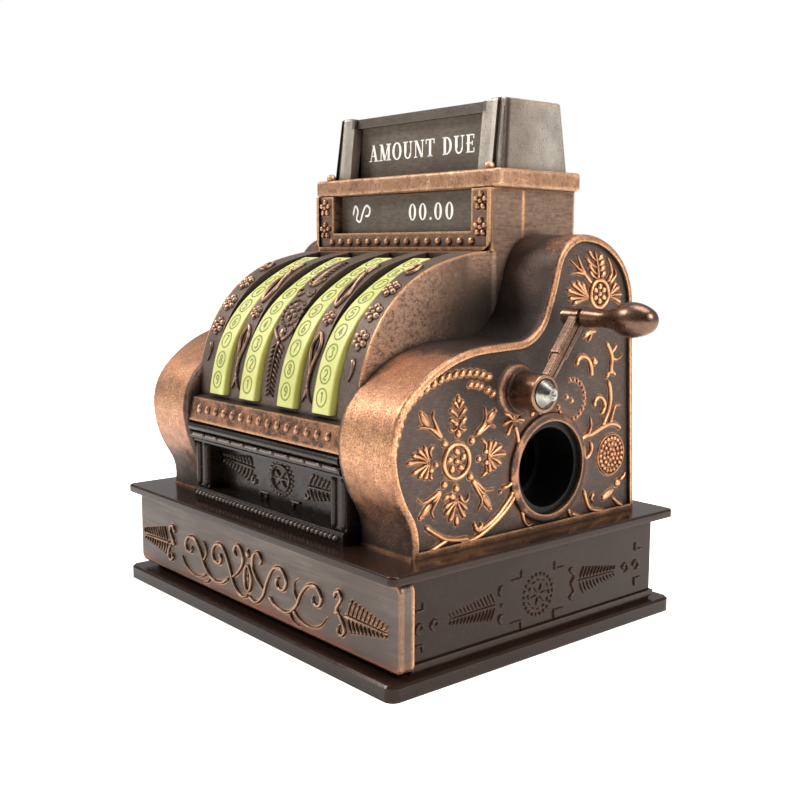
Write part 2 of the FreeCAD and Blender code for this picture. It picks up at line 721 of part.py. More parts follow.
def sign_topper():
    """The leaning cast frame on top, open at the front and hollow from below."""
    block = frustum(TOPPER_FOOT, TOPPER_HEAD, CORNICE_TOP, TOPPER_TOP)
    block = rounded(block, 0.7, leaning)
    block = rounded(block, 0.4, at_height(TOPPER_TOP))
    wall = TOPPER_WALL
    hollow = frustum(drawn_in(TOPPER_FOOT, wall), drawn_in(TOPPER_HEAD, wall),
                     CORNICE_TOP - 0.01, TOPPER_TOP - wall)
    face = box((-SIGN_HALF, SIGN_HALF), (TOPPER_FOOT[1] - 1, TOPPER_FOOT[1] + 3),
               (CORNICE_TOP - 1, SIGN_TOP))
    bar = box((-SIGN_HALF, SIGN_HALF), (TOPPER_FOOT[1] - 1, TOPPER_HEAD[1] + POST_PROUD),
              (CORNICE_TOP - 1, TOPPER_TOP + 1))
    low_bar = box((-TOPPER_BAR[0], TOPPER_BAR[0]), (0, BASE_DEPTH), (TOPPER_BAR[1], TOPPER_TOP + 1))
    ends = []
    for half, front, back in (TOPPER_FOOT, TOPPER_HEAD):
        ends.append((half - 0.35, front - 2, front + 0.45))
    groove = frustum(*ends, CORNICE_TOP - 0.01, TOPPER_TOP + 0.01)
    inner = TOPPER_HEAD[0] - 1.0
    between = box((-inner, inner), (0, BASE_DEPTH), (TOWER_TOP, TOPPER_TOP + 1))
    groove = groove.cut(between)
    x, depth = TOPPER_SCREW
    bosses = both(post(1.6, x, depth, (CORNICE_TOP, TOPPER_TOP - wall / 2)))
    holes = both(post(SCREW_R + PILOT_GAP, x, depth, (CORNICE_TOP - 1, 60.0)))
    return joined(block.cut([hollow, face, bar, groove, low_bar]), *bosses).cut(holes)


def topper_screws():
    """Two screws up through the cornice into the topper."""
    x, depth = TOPPER_SCREW
    return group(both(screw(x, depth, TOWER_TOP, 6.0)))


def sign_card():
    """The printed card behind the topper's opening."""
    front = TOPPER_FOOT[1] + TOPPER_WALL + 1.0
    return box((-SIGN_HALF - 0.5, SIGN_HALF + 0.5), (front, front + CARD_THICK),
               (CORNICE_TOP + 0.05, SIGN_TOP + 0.1))


def amount_card():
    """The printed card behind the tower's window."""
    front = TOWER_FRONT + SHELL + 0.1
    return box((-WINDOW_HALF - 0.9, WINDOW_HALF + 0.9), (front, front + CARD_THICK),
               (TOWER_FLOOR + 0.05, TOWER_TOP - 0.05))


# ---------------------------------------------------------------- sharpener

BODY_END = SLEEVE_X[0]
CONE_START = BODY_END - PENCIL_LEAD_IN
CONE_TIP_R = 0.5
CONE_LENGTH = (PENCIL_R - CONE_TIP_R) / math.tan(math.radians(CONE_ANGLE))
BLADE = (16.0, 7.0, 0.5)
BLADE_SLIT = 0.12
BLADE_EDGE_Y = 0.2
BLADE_SCREW_Y = 3.4
BLADE_SCREW_R = 0.8
BLADE_MIDDLE = CONE_START - CONE_LENGTH / 2


def on_blade_seat(shape):
    """Moves a shape drawn about the origin, Z up, onto the sharpener's slanted seat."""
    middle_r = (PENCIL_R + CONE_TIP_R) / 2 - BLADE_SLIT
    shape.rotate(V(0, 0, 0), Y_AXIS, -CONE_ANGLE)
    shape.translate(point(PORT_DEPTH, PORT_Z + middle_r, BLADE_MIDDLE))
    return shape


def sharpener_sleeve():
    """The black bush that lines the pencil port."""
    tube = rod(SLEEVE_R, SLEEVE_X, PORT_DEPTH, PORT_Z)
    return tube.cut(rod(SLEEVE_BORE, (SLEEVE_X[0] - 1, SLEEVE_X[1] + 1), PORT_DEPTH, PORT_Z))


def sharpener_body():
    """The sharpener: a round body with a lead-in bore, a cone and a seat for the blade."""
    body = rod(SLEEVE_R - 0.05, (SHARPENER_END, BODY_END), PORT_DEPTH, PORT_Z)
    lead_in = rod(PENCIL_R, (CONE_START, BODY_END + 1), PORT_DEPTH, PORT_Z)
    cone_mouth = point(PORT_DEPTH, PORT_Z, CONE_START)
    cone = Part.makeCone(PENCIL_R, CONE_TIP_R, CONE_LENGTH, cone_mouth, -X_AXIS)
    tip = rod(CONE_TIP_R, (SHARPENER_END - 1, CONE_START - CONE_LENGTH + 0.01), PORT_DEPTH, PORT_Z)
    seat = Part.makeBox(60, 14, 10, V(-45, -7, 0))
    seat = on_blade_seat(seat).cut(box((CONE_START, 40), (0, 60), (0, 60)))
    hole = on_blade_seat(Part.makeCylinder(BLADE_SCREW_R + PILOT_GAP, 3.0, V(0, BLADE_SCREW_Y, -3.0)))
    return body.cut([lead_in, cone, tip, seat, hole])


def sharpener_blade():
    """The steel blade that lies on the slanted seat with one ground edge."""
    length, width, thick = BLADE
    blade = Part.makeBox(length, width, thick, V(-length / 2, BLADE_EDGE_Y, 0.02))
    blade = blade.cut(Part.makeCylinder(BLADE_SCREW_R + PILOT_GAP, 3.0, V(0, BLADE_SCREW_Y, -1.0)))
    cutting_edge = []
    for edge in blade.Edges:
        start = edge.Vertexes[0].Point
        if edge.Length > length - 0.1 and abs(start.y - BLADE_EDGE_Y) < 1e-6 and start.z > thick / 2:
            cutting_edge.append(edge)
    return on_blade_seat(blade.makeChamfer(0.45, cutting_edge))


def blade_screw():
    """The short screw that clamps the blade."""
    seat = BLADE[2] + 0.02
    deep = 2.4
    head = Part.makeCylinder(2 * BLADE_SCREW_R, SCREW_HEAD, V(0, BLADE_SCREW_Y, seat))
    shank = Part.makeCylinder(BLADE_SCREW_R, seat + deep, V(0, BLADE_SCREW_Y, -deep))
    corner = V(-2 * BLADE_SCREW_R, BLADE_SCREW_Y - SLOT_WIDTH / 2, seat + SCREW_HEAD - SLOT_DEEP)
    slot = Part.makeBox(4 * BLADE_SCREW_R, SLOT_WIDTH, 1.0, corner)
    return on_blade_seat(joined(head, shank).cut(slot))


# ---------------------------------------------------------------- crank

ARM_LENGTH = math.hypot(KNOB_DEPTH - CRANK_DEPTH, KNOB_Z - CRANK_Z)
ARM_ANGLE = math.degrees(math.atan2(KNOB_Z - CRANK_Z, KNOB_DEPTH - CRANK_DEPTH))
GRIP_COLLAR = ((0.0, 0.95), (0.5, 1.24))
GRIP_HEADING = -8.0
GRIP_STOPS = (GRIP_COLLAR[1], (2.5, 1.04), (5.2, 1.58), (7.3, 1.93), (9.2, 1.3), (9.9, 0.1))


def crank_arm():
    """Hub, stepped arm and end boss in one casting."""
    hub = rod(HUB_R, HUB_X, CRANK_DEPTH, CRANK_Z)
    hub = rounded(hub, 0.15, lambda e: abs(e.Vertexes[0].Point.x - HUB_X[1]) < 1e-6)
    x0, x1 = ARM_X
    step = ARM_LENGTH * ARM_STEP
    lower = Part.makeBox(x1 - x0, ARM_LENGTH, ARM_NARROW, V(x0, 0, -ARM_NARROW / 2))
    upper = Part.makeBox(x1 - x0 + 0.2, ARM_LENGTH - step, ARM_WIDE, V(x0 - 0.2, step, -ARM_WIDE / 2))
    groove = Part.makeBox(0.3, ARM_LENGTH * 0.8, 0.5, V(x1 - 0.1, ARM_LENGTH * 0.18, -0.25))
    bar = joined(lower, upper).cut(groove)

    def long_edge(edge):
        return edge.Length > ARM_LENGTH * 0.4 and abs(edge.Vertexes[0].Point.z) > ARM_NARROW / 2 - 0.1
    bar = rounded(bar, 0.15, long_edge)
    bar.rotate(V(0, 0, 0), X_AXIS, ARM_ANGLE)
    bar.translate(point(CRANK_DEPTH, CRANK_Z))
    end = rod(END_BOSS_R, END_BOSS_X, KNOB_DEPTH, KNOB_Z)
    recess = rod(HUB_RECESS_R, (HUB_RECESS_X, HUB_X[1] + 1), CRANK_DEPTH, CRANK_Z)
    bore = rod(RIVET_R + RUNNING_GAP, (20, 40), CRANK_DEPTH, CRANK_Z)
    pin_bore = rod(GRIP_PIN_R + 0.01, (20, 40), KNOB_DEPTH, KNOB_Z)
    return joined(hub, bar, end).cut([recess, bore, pin_bore])


def crank_rivet():
    """The steel rivet through hub and boss: a cone outside and a flat tail inside."""
    start = HUB_X[1] - 0.15
    cone_start = start + 0.2
    cone_end = cone_start + RIVET_CONE
    shank = rod(RIVET_R, (22.6, start), CRANK_DEPTH, CRANK_Z)
    collar = rod(RIVET_HEAD_R, (start, cone_start), CRANK_DEPTH, CRANK_Z)
    cone_foot = point(CRANK_DEPTH, CRANK_Z, cone_start)
    cone = Part.makeCone(RIVET_HEAD_R, RIVET_TIP_R, RIVET_CONE, cone_foot, X_AXIS)
    tail = rod(1.4, (22.6, 23.1), CRANK_DEPTH, CRANK_Z)
    dimple = Part.makeCone(0.1, 0.42, 0.3, point(CRANK_DEPTH, CRANK_Z, cone_end - 0.29), X_AXIS)
    return joined(shank, collar, cone, tail).cut(dimple)


def crank_washer():
    """The washer between the rivet's tail and the cheek's inner face."""
    ring = rod(2.2, (23.12, 23.55), CRANK_DEPTH, CRANK_Z)
    return ring.cut(rod(RIVET_R + RUNNING_GAP, (20, 30), CRANK_DEPTH, CRANK_Z))


def grip_pin():
    """The pin that the grip turns on, headed behind the arm."""
    pin = rod(GRIP_PIN_R, (26.7, GRIP_START + 6.5), KNOB_DEPTH, KNOB_Z)
    head = rod(0.8, (26.6, 26.88), KNOB_DEPTH, KNOB_Z)
    return joined(pin, head)


def grip_handle():
    """The pear-shaped grip, turned about the pin."""
    def lathe_point(along, radius):
        return point(KNOB_DEPTH, KNOB_Z + radius, GRIP_START + along)

    nodes = smooth_chain(GRIP_HEADING, GRIP_STOPS)
    curve = [edge_between(a, b, lathe_point) for a, b in zip(nodes, nodes[1:])]
    start = lathe_point(0, 0)
    tip = GRIP_STOPS[-1]
    corners = [lathe_point(*p) for p in (tip, (tip[0], 0), (0, 0), *GRIP_COLLAR)]
    straight = [Part.makeLine(a, b) for a, b in zip(corners, corners[1:])]
    face = Part.Face(Part.Wire(curve + straight))
    body = face.revolve(start, X_AXIS, 360)
    bore = rod(GRIP_PIN_R + RUNNING_GAP, (GRIP_START - 1, GRIP_START + 6.8), KNOB_DEPTH, KNOB_Z)
    return body.cut(bore)


NODES = (
    bottom_plate, bottom_plate_screws, base_box, deck_screws,
    drawer_front, drawer_tray, drawer_screws,
    housing_shell, rear_cover, rear_cover_screws, front_panel, key_strip_insert,
    tower_cornice, sign_topper, topper_screws, sign_card, amount_card,
    sharpener_sleeve, sharpener_body, sharpener_blade, blade_screw,
    crank_arm, crank_rivet, crank_washer, grip_pin, grip_handle,
)

os.makedirs("parts", exist_ok=True)
for make in NODES:
    solid = make()
    print(make.__name__, "valid", solid.isValid(), "solids", len(solid.Solids),
          "volume", round(solid.Volume, 2))
    solid.exportStep("parts/" + make.__name__ + ".step")
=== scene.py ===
"""Looks of the miniature cash register pencil sharpener: relief ornament, print, materials and light."""
import math

import bmesh
import bpy
from mathutils import Matrix, Vector


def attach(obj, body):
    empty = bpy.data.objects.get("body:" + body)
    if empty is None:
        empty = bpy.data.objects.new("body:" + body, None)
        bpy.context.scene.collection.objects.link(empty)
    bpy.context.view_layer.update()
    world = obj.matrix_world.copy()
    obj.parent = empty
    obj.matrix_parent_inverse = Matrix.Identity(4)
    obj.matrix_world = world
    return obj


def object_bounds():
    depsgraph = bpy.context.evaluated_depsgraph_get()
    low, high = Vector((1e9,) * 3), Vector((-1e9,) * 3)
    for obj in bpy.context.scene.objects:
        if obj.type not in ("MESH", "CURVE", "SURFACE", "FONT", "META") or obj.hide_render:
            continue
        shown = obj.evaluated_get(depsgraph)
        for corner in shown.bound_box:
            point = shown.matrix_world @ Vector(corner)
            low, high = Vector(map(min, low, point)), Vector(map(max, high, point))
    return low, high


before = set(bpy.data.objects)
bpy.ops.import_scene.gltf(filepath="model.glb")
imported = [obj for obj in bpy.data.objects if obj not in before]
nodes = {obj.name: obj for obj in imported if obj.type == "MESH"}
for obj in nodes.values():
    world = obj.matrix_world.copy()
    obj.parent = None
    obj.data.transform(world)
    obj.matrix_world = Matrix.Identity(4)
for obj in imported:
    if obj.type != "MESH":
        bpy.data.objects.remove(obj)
cad_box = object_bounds()

MM = 0.001

# Named places on the model, in mm. Depth runs back from the front of the deck;
# model y = depth - HALF_DEPTH.
HALF_DEPTH = 23.2
CHEEK_PLANE = 25.20
BOX_SIDE = 27.4
DRAWER_FACE = 1.4
FIELD_DEPTH = 6.0
BEZEL_PLANE = 24.7
SIGN_CARD_FACE = 29.1
AMOUNT_CARD_FACE = 26.3
LEDGE_TOP = (3.3, 26.7)
LEDGE_LOW = (2.7, 23.7)
DRUM_HEADING = 89.0
DRUM_STOPS = ((4.55, 27.0), (6.9, 36.24), (10.17, 40.58), (16.78, 44.4), (21.9, 45.6))
STRIP_CENTRES = (-11.31, -4.17, 4.17, 11.31)
STRIP_HEADING = 84.0
STRIP_STOPS = ((3.8, 27.0), (4.84, 32.26), (7.1, 36.9), (10.6, 40.45), (16.9, 44.1), (19.0, 44.9))
PORT = (26.72, 20.62)
TOPPER_FRONT = 26.8      # depth of the sign housing's front at its foot
TOPPER_FOOT_Z = 55.5
TOPPER_LEAN = 0.105      # how far it leans back for each mm up
CRANK = (21.12, 30.22)

SINK = 0.15          # how far an ornament's foot goes into its surface
STROKE_STEP = 0.28   # spacing of the cross-sections along a stroke
ARCH = (8, 36, 63, 90, 117, 144, 172)   # degrees round a ridge's cross-section
BEAD_PROFILE = ((1.0, 0.08), (0.88, 0.48), (0.62, 0.79), (0.3, 0.96))   # shares of radius and height


# ---- places to draw on

def model(x, depth, z):
    return Vector((x, depth - HALF_DEPTH, z))


def on_side(side, face):
    return lambda depth, z, up: model(side * (face + up), depth, z)


def on_front(face):
    return lambda x, z, up: model(x, face - up, z)


def on_ledge(x, z, up):
    """The sloping band under the key drum."""
    run, rise = LEDGE_TOP[0] - LEDGE_LOW[0], LEDGE_TOP[1] - LEDGE_LOW[1]
    slope = math.hypot(run, rise)
    depth = LEDGE_LOW[0] + run * (z - LEDGE_LOW[1]) / rise
    return model(x, depth - up * rise / slope, z + up * run / slope)


def arcs(heading, stops):
    """Each arc of a smooth chain as (start, heading in radians, turn, length)."""
    found = []
    start, angle = stops[0], math.radians(heading)
    for stop in stops[1:]:
        chord = math.hypot(stop[0] - start[0], stop[1] - start[1])
        half = math.atan2(stop[1] - start[1], stop[0] - start[0]) - angle
        length = chord if abs(half) < 1e-6 else chord * half / math.sin(half)
        found.append((start, angle, 2 * half, length))
        start, angle = stop, angle + 2 * half
    return found


def on_chain(heading, stops):
    """Draws on a curved wall: x across it, s the distance up along its outline."""
    chain = arcs(heading, stops)

    def place(x, s, up):
        for start, angle, turn, length in chain:
            if s <= length or start is chain[-1][0]:
                break
            s -= length
        now = angle + turn * s / length
        if abs(turn) < 1e-6:
            depth, z = start[0] + s * math.cos(angle), start[1] + s * math.sin(angle)
        else:
            radius = length / turn
            depth = start[0] + radius * (math.sin(now) - math.sin(angle))
            z = start[1] - radius * (math.cos(now) - math.cos(angle))
        return model(x, depth - up * math.sin(now), z + up * math.cos(now))

    return place


# ---- relief drawing

def curve(points, step=STROKE_STEP):
    """A smooth line through the points, sampled evenly enough for a ridge."""
    pts = [Vector(p) for p in points]
    if len(pts) == 2:
        count = max(2, round((pts[1] - pts[0]).length / step))
        return [pts[0].lerp(pts[1], i / count) for i in range(count + 1)]
    ends = [2 * pts[0] - pts[1]] + pts + [2 * pts[-1] - pts[-2]]
    line = [pts[0]]
    for a, b, c, d in zip(ends, ends[1:], ends[2:], ends[3:]):
        count = max(2, round((c - b).length / step))
        for i in range(1, count + 1):
            t = i / count
            line.append(0.5 * (2 * b + (c - a) * t + (2 * a - 5 * b + 4 * c - d) * t ** 2
                               + (3 * b - a - 3 * c + d) * t ** 3))
    return line


def straight(points, step=STROKE_STEP):
    """A line with sharp corners through the points."""
    line = []
    for a, b in zip(points, points[1:]):
        part = curve((a, b), step)
        line += part if not line else part[1:]
    return line


def direction(degrees):
    return math.cos(math.radians(degrees)), math.sin(math.radians(degrees))


def flipped(side, points, middle=0.0):
    """The points, mirrored about x = middle where side is -1."""
    return [(middle + side * x, z) for x, z in points]


def around(centre, radius, degrees, squeeze=1.0):
    c, s = direction(degrees)
    return (centre[0] + radius * c, centre[1] + radius * squeeze * s)


def sideways(along):
    """The unit vector a quarter turn to the left of a direction."""
    ahead = along.normalized()
    return Vector((-ahead.y, ahead.x))


def even(_):
    return 1.0


def comma(t):
    """Blunt at its start and thin at its end."""
    return 1.0 - 0.72 * t


def leaf(t):
    return 0.3 + 0.7 * math.sin(math.pi * min(1.0, 0.12 + 0.88 * t)) ** 0.8


class Relief:
    """Closed ridges and beads, drawn flat in mm and laid on a surface by place()."""

    def __init__(self, place, tall=0.36, sink=SINK):
        self.place = place
        self.tall = tall
        self.sink = sink
        self.points = []
        self.rise = []
        self.faces = []

    def _add(self, a, b, up, rise):
        self.points.append(self.place(a, b, up) * MM)
        self.rise.append(rise)
        return len(self.points) - 1

    def _section(self, middle, half, high, spread):
        """A ridge's cross-section: an arch between two feet, which stand spread times as wide."""
        ring = [self._add(*(middle - half * spread), -self.sink, 0.0)]
        for angle in ARCH:
            c, s = direction(angle)
            ring.append(self._add(*(middle - half * c), high * s, s * high / self.tall))
        ring.append(self._add(*(middle + half * spread), -self.sink, 0.0))
        return ring

    def _join(self, rings):
        for low, high in zip(rings, rings[1:]):
            self.faces += [(a, b, d, c) for a, b, c, d in
                           zip(low, low[1:] + low[:1], high, high[1:] + high[:1])]

    def _close(self, rings):
        self._join(rings)
        self.faces.append(tuple(rings[0]))
        self.faces.append(tuple(reversed(rings[-1])))

    def stroke(self, points, width, shape=even, sharp=False):
        """A rounded ridge along a line, width across, its ends rounded off."""
        line = straight(points) if sharp else curve(points)
        run = [0.0]
        for a, b in zip(line, line[1:]):
            run.append(run[-1] + (b - a).length)
        total = run[-1]
        half = width / 2
        rings = []
        for i, p in enumerate(line):
            before, after = line[max(0, i - 1)], line[min(len(line) - 1, i + 1)]
            across = sideways(after - before)
            spot = run[i] / total
            here = half * shape(spot)
            left = min(run[i], total - run[i])
            round_off = 1.0
            if left < here:
                round_off = max(0.35, math.sqrt(1 - (1 - left / here) ** 2))
            wide = here * round_off
            high = self.tall * round_off * (0.55 + 0.45 * shape(spot))
            rings.append(self._section(p, across * wide, high, 1.05))
        self._close(rings)

    def leaves(self, root, leaves, width):
        """Commas that meet at a root, each given as its tip and its bend."""
        for tip, bend in leaves:
            self.stroke((tip, bend, root), width, comma)

    def fan(self, root, tips, width, sag=(0.0, 0.0)):
        """Commas from the tips to a root, their middles moved by sag."""
        self.leaves(root, [(tip, ((tip[0] + root[0]) / 2 + sag[0], (tip[1] + root[1]) / 2 + sag[1]))
                           for tip in tips], width)

    def loop(self, points, width=0.4, tall=None):
        """A ridge that closes on itself."""
        tall = tall or self.tall
        line = curve(list(points) + [points[0]])[:-1]
        rings = []
        count = len(line)
        for i, p in enumerate(line):
            across = sideways(line[(i + 1) % count] - line[i - 1])
            rings.append(self._section(p, across * width / 2, tall, 1.04))
        self._join(rings + rings[:1])

    def ring(self, centre, radius, width=0.4, tall=None, squeeze=1.0):
        count = max(12, round(2 * math.pi * radius / 0.35))
        self.loop([around(centre, radius, 360 * i / count, squeeze) for i in range(count)], width, tall)

    def bead(self, centre, radius, other=None, angle=0.0, tall=None):
        """A rounded bead, or an oval one with its second radius at right angles."""
        other = other or radius
        tall = tall or min(self.tall * 1.1, min(radius, other) * 1.1)
        count = 14 if max(radius, other) > 0.4 else 10
        c, s = direction(angle)
        rings = []
        for wide, high in ((1.04, -self.sink / tall), *BEAD_PROFILE):
            ring = []
            for i in range(count):
                u, v = around((0, 0), radius * wide, 360 * i / count, other / radius)
                ring.append(self._add(centre[0] + u * c - v * s, centre[1] + u * s + v * c,
                                      tall * high, max(0.0, high) * tall / self.tall))
            rings.append(ring)
        self._close(rings)

    def beads(self, places, radius):
        for place in places:
            self.bead(place, radius)

    def bead_ring(self, centre, ring_radius, count, radius, squeeze=1.0, skip=()):
        for i in range(count):
            turn = 360 * i / count
            if any(low <= turn <= high for low, high in skip):
                continue
            self.bead(around(centre, ring_radius, turn, squeeze), radius)

    def flower(self, centre, reach, petals, petal_r, heart_r, turn=90.0):
        for i in range(petals):
            angle = turn + 360 * i / petals
            self.bead(around(centre, reach, angle), petal_r * 1.1, petal_r * 0.92, angle)
        self.bead(centre, heart_r, tall=self.tall * 1.1)

    def spiral(self, centre, radius, start, turns, width, shrink):
        """A curl that winds inwards, to shrink times its radius."""
        count = max(6, round(abs(turns) * 12))
        self.stroke([around(centre, radius * (1 - (1 - shrink) * i / count), start + 360 * turns * i / count)
                     for i in range(count + 1)], width)

    def feather(self, thick, thin, count, above, below, width=0.42, lean=0.45, first=0.06):
        """A shaft with barbs on both sides that shrink and lean towards its thin end."""
        self.stroke((thick, thin), width, comma)
        a, b = Vector(thick), Vector(thin)
        along = (b - a).normalized()
        across = sideways(along)
        if across.y < 0:
            across = -across
        for i in range(count):
            t = first + (0.96 - first) * i / (count - 1)
            root = a.lerp(b, t)
            for sign, (near, far) in ((1, above), (-1, below)):
                reach = near + (far - near) * t
                tip = root + across * sign * reach + along * reach * lean
                bend = root + across * sign * reach * 0.5 + along * reach * lean * 0.3
                self.stroke((tip, bend, root + across * sign * 0.22), width * (1.05 - 0.35 * t), comma)

    def build(self, name, body, slot_name, material):
        mesh = bpy.data.meshes.new(name)
        mesh.from_pydata(self.points, [], self.faces)
        rise = mesh.attributes.new("rise", "FLOAT", "POINT")
        rise.data.foreach_set("value", [min(1.0, max(0.0, r)) for r in self.rise])
        form = bmesh.new()
        form.from_mesh(mesh)
        bmesh.ops.recalc_face_normals(form, faces=form.faces)
        form.to_mesh(mesh)
        form.free()
        for face in mesh.polygons:
            face.use_smooth = True
        return piece(name, mesh, body, material)


def piece(name, mesh, body, material):
    obj = bpy.data.objects.new(name, mesh)
    bpy.context.scene.collection.objects.link(obj)
    obj.data.materials.append(material)
    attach(obj, body)
    return obj


# ---- material building

def linear(red, green, blue):
    """A colour given as 0-255 display values, as linear light."""
    out = []
    for value in (red, green, blue):
        c = value / 255
        out.append(c / 12.92 if c <= 0.04045 else ((c + 0.055) / 1.055) ** 2.4)
    return (*out, 1.0)


def put(tree, socket, value):
    """Links a socket to another, or sets it to a number or to a 0-255 colour."""
    if isinstance(value, bpy.types.NodeSocket):
        tree.links.new(value, socket)
    elif isinstance(value, tuple):
        socket.default_value = linear(*value)
    else:
        socket.default_value = value


def add_node(tree, kind, **inputs):
    """A shader node, with a value or a link for each input named."""
    node = tree.nodes.new("ShaderNode" + kind)
    for name, value in inputs.items():
        put(tree, node.inputs[name.replace("_", " ")], value)
    return node


class Shade:
    """Builds one procedural material. Coordinates are the object's own, in mm."""

    def __init__(self, name):
        self.material = bpy.data.materials.new(name)
        self.material.use_nodes = True
        self.tree = self.material.node_tree
        self.surface = self.tree.nodes["Principled BSDF"]
        self.colour = None
        coords = self.node("TexCoord").outputs["Object"]
        scale = self.node("VectorMath")
        scale.operation = "SCALE"
        self.put(scale.inputs[0], coords)
        self.put(scale.inputs["Scale"], 1 / MM)
        self.mm = scale.outputs[0]
        normal = self.node("NewGeometry").outputs["Normal"]
        self.x, self.y, self.z = self.node("SeparateXYZ", Vector=self.mm).outputs
        self.nx, self.ny, self.nz = self.node("SeparateXYZ", Vector=normal).outputs
        self.depth = self.plus(self.y, HALF_DEPTH)
        self.wide = self.math("ABSOLUTE", self.x)
        self.side_facing = self.math("ABSOLUTE", self.nx)

    def node(self, kind, **inputs):
        return add_node(self.tree, kind, **inputs)

    def put(self, socket, value):
        put(self.tree, socket, value)

    def spread(self, size, stretch=(1, 1, 1)):
        return self.node("Mapping", Vector=self.mm, Scale=[1 / (size * s) for s in stretch]).outputs[0]

    def noise(self, size, detail=3.0, rough=0.55, stretch=(1, 1, 1)):
        """Noise whose features are about size mm across."""
        return self.node("TexNoise", Vector=self.spread(size, stretch), Scale=1.0, Detail=detail,
                         Roughness=rough).outputs["Fac"]

    def pits(self, size, low=0.05, high=0.25):
        """1 in small round pits about size mm apart, 0 between them."""
        cells = self.node("TexVoronoi", Vector=self.spread(size), Scale=1.0)
        return self.fade(cells.outputs["Distance"], high, low)

    def fade(self, value, low, high, to_low=0.0, to_high=1.0):
        """Goes smoothly from to_low to to_high as value goes from low to high."""
        ramp = self.node("MapRange", Value=value, From_Min=low, From_Max=high, To_Min=to_low, To_Max=to_high)
        ramp.interpolation_type = "SMOOTHSTEP"
        return ramp.outputs["Result"]

    def math(self, operation, a, b=0.0):
        node = self.node("Math")
        node.operation = operation
        self.put(node.inputs[0], a)
        self.put(node.inputs[1], b)
        return node.outputs[0]

    def chain(self, operation, values):
        out = values[0]
        for value in values[1:]:
            out = self.math(operation, out, value)
        return out

    def zones(self, limits):
        """Masks by place in mm or by facing: x=(0, 1) fades in, x=(0, 1, 4, 5) also fades out."""
        return [(self.fade if len(ends) == 2 else self.band)(getattr(self, name), *ends)
                for name, ends in limits.items()]

    def times(self, *values, **limits):
        return self.chain("MULTIPLY", [*values, *self.zones(limits)])

    def plus(self, *values):
        return self.chain("ADD", values)

    def most(self, *values):
        return self.chain("MAXIMUM", values)

    def less(self, value):
        return self.math("SUBTRACT", 1.0, value)

    def sway(self, noise, *amounts):
        """Noise made to go both ways from 0, times the amounts."""
        return self.times(self.plus(noise, -0.5), *amounts)

    def band(self, value, low, low_full, high_full, high):
        """1 from low_full to high_full, fading to 0 at low and at high."""
        return self.times(self.fade(value, low, low_full), self.fade(value, high, high_full))

    def reach(self, a, b, a0, b0):
        """Distance of (a, b) from (a0, b0)."""
        da = self.math("SUBTRACT", a, a0)
        db = self.math("SUBTRACT", b, b0)
        return self.math("SQRT", self.plus(self.times(da, da), self.times(db, db)))

    def mix(self, amount, a, b):
        node = self.node("Mix")
        node.data_type = "RGBA"
        self.put(node.inputs["Factor"], amount)
        self.put(node.inputs["A"], a)
        self.put(node.inputs["B"], b)
        return node.outputs["Result"]

    def coat(self, colour, *masks, **limits):
        """Lays a colour over the colour so far, as much as the masks' product."""
        self.colour = self.mix(self.times(*masks, **limits), self.colour, colour)

    def corner(self, inside, reach):
        """1 near an outer corner (inside) or in an inner corner, 0 on open surface."""
        node = self.node("AmbientOcclusion", Distance=reach * MM)
        node.inside = inside
        node.samples = 6
        return self.less(node.outputs["AO"])

    def attribute(self, name):
        node = self.node("Attribute")
        node.attribute_name = name
        return node.outputs["Fac"]

    def bump(self, height, depth):
        return self.node("Bump", Strength=1.0, Distance=depth * MM, Height=height).outputs[0]

    def finish(self, rough, metal, normal=None, **constants):
        self.put(self.surface.inputs["Base Color"], self.colour)
        self.put(self.surface.inputs["Roughness"], rough)
        self.put(self.surface.inputs["Metallic"], metal)
        if normal is not None:
            self.put(self.surface.inputs["Normal"], normal)
        for name, value in constants.items():
            self.surface.inputs[name.replace("_", " ")].default_value = value
        return self.material


# colours, as 0-255 display values
COPPER_BRIGHT = (224, 167, 119)
COPPER = (167, 116, 85)
COPPER_DEEP = (90, 60, 46)
PATINA = (84, 67, 58)
PATINA_DARK = (42, 33, 28)
TOWER = (172, 138, 114)
DRUM_WALL = (166, 130, 108)


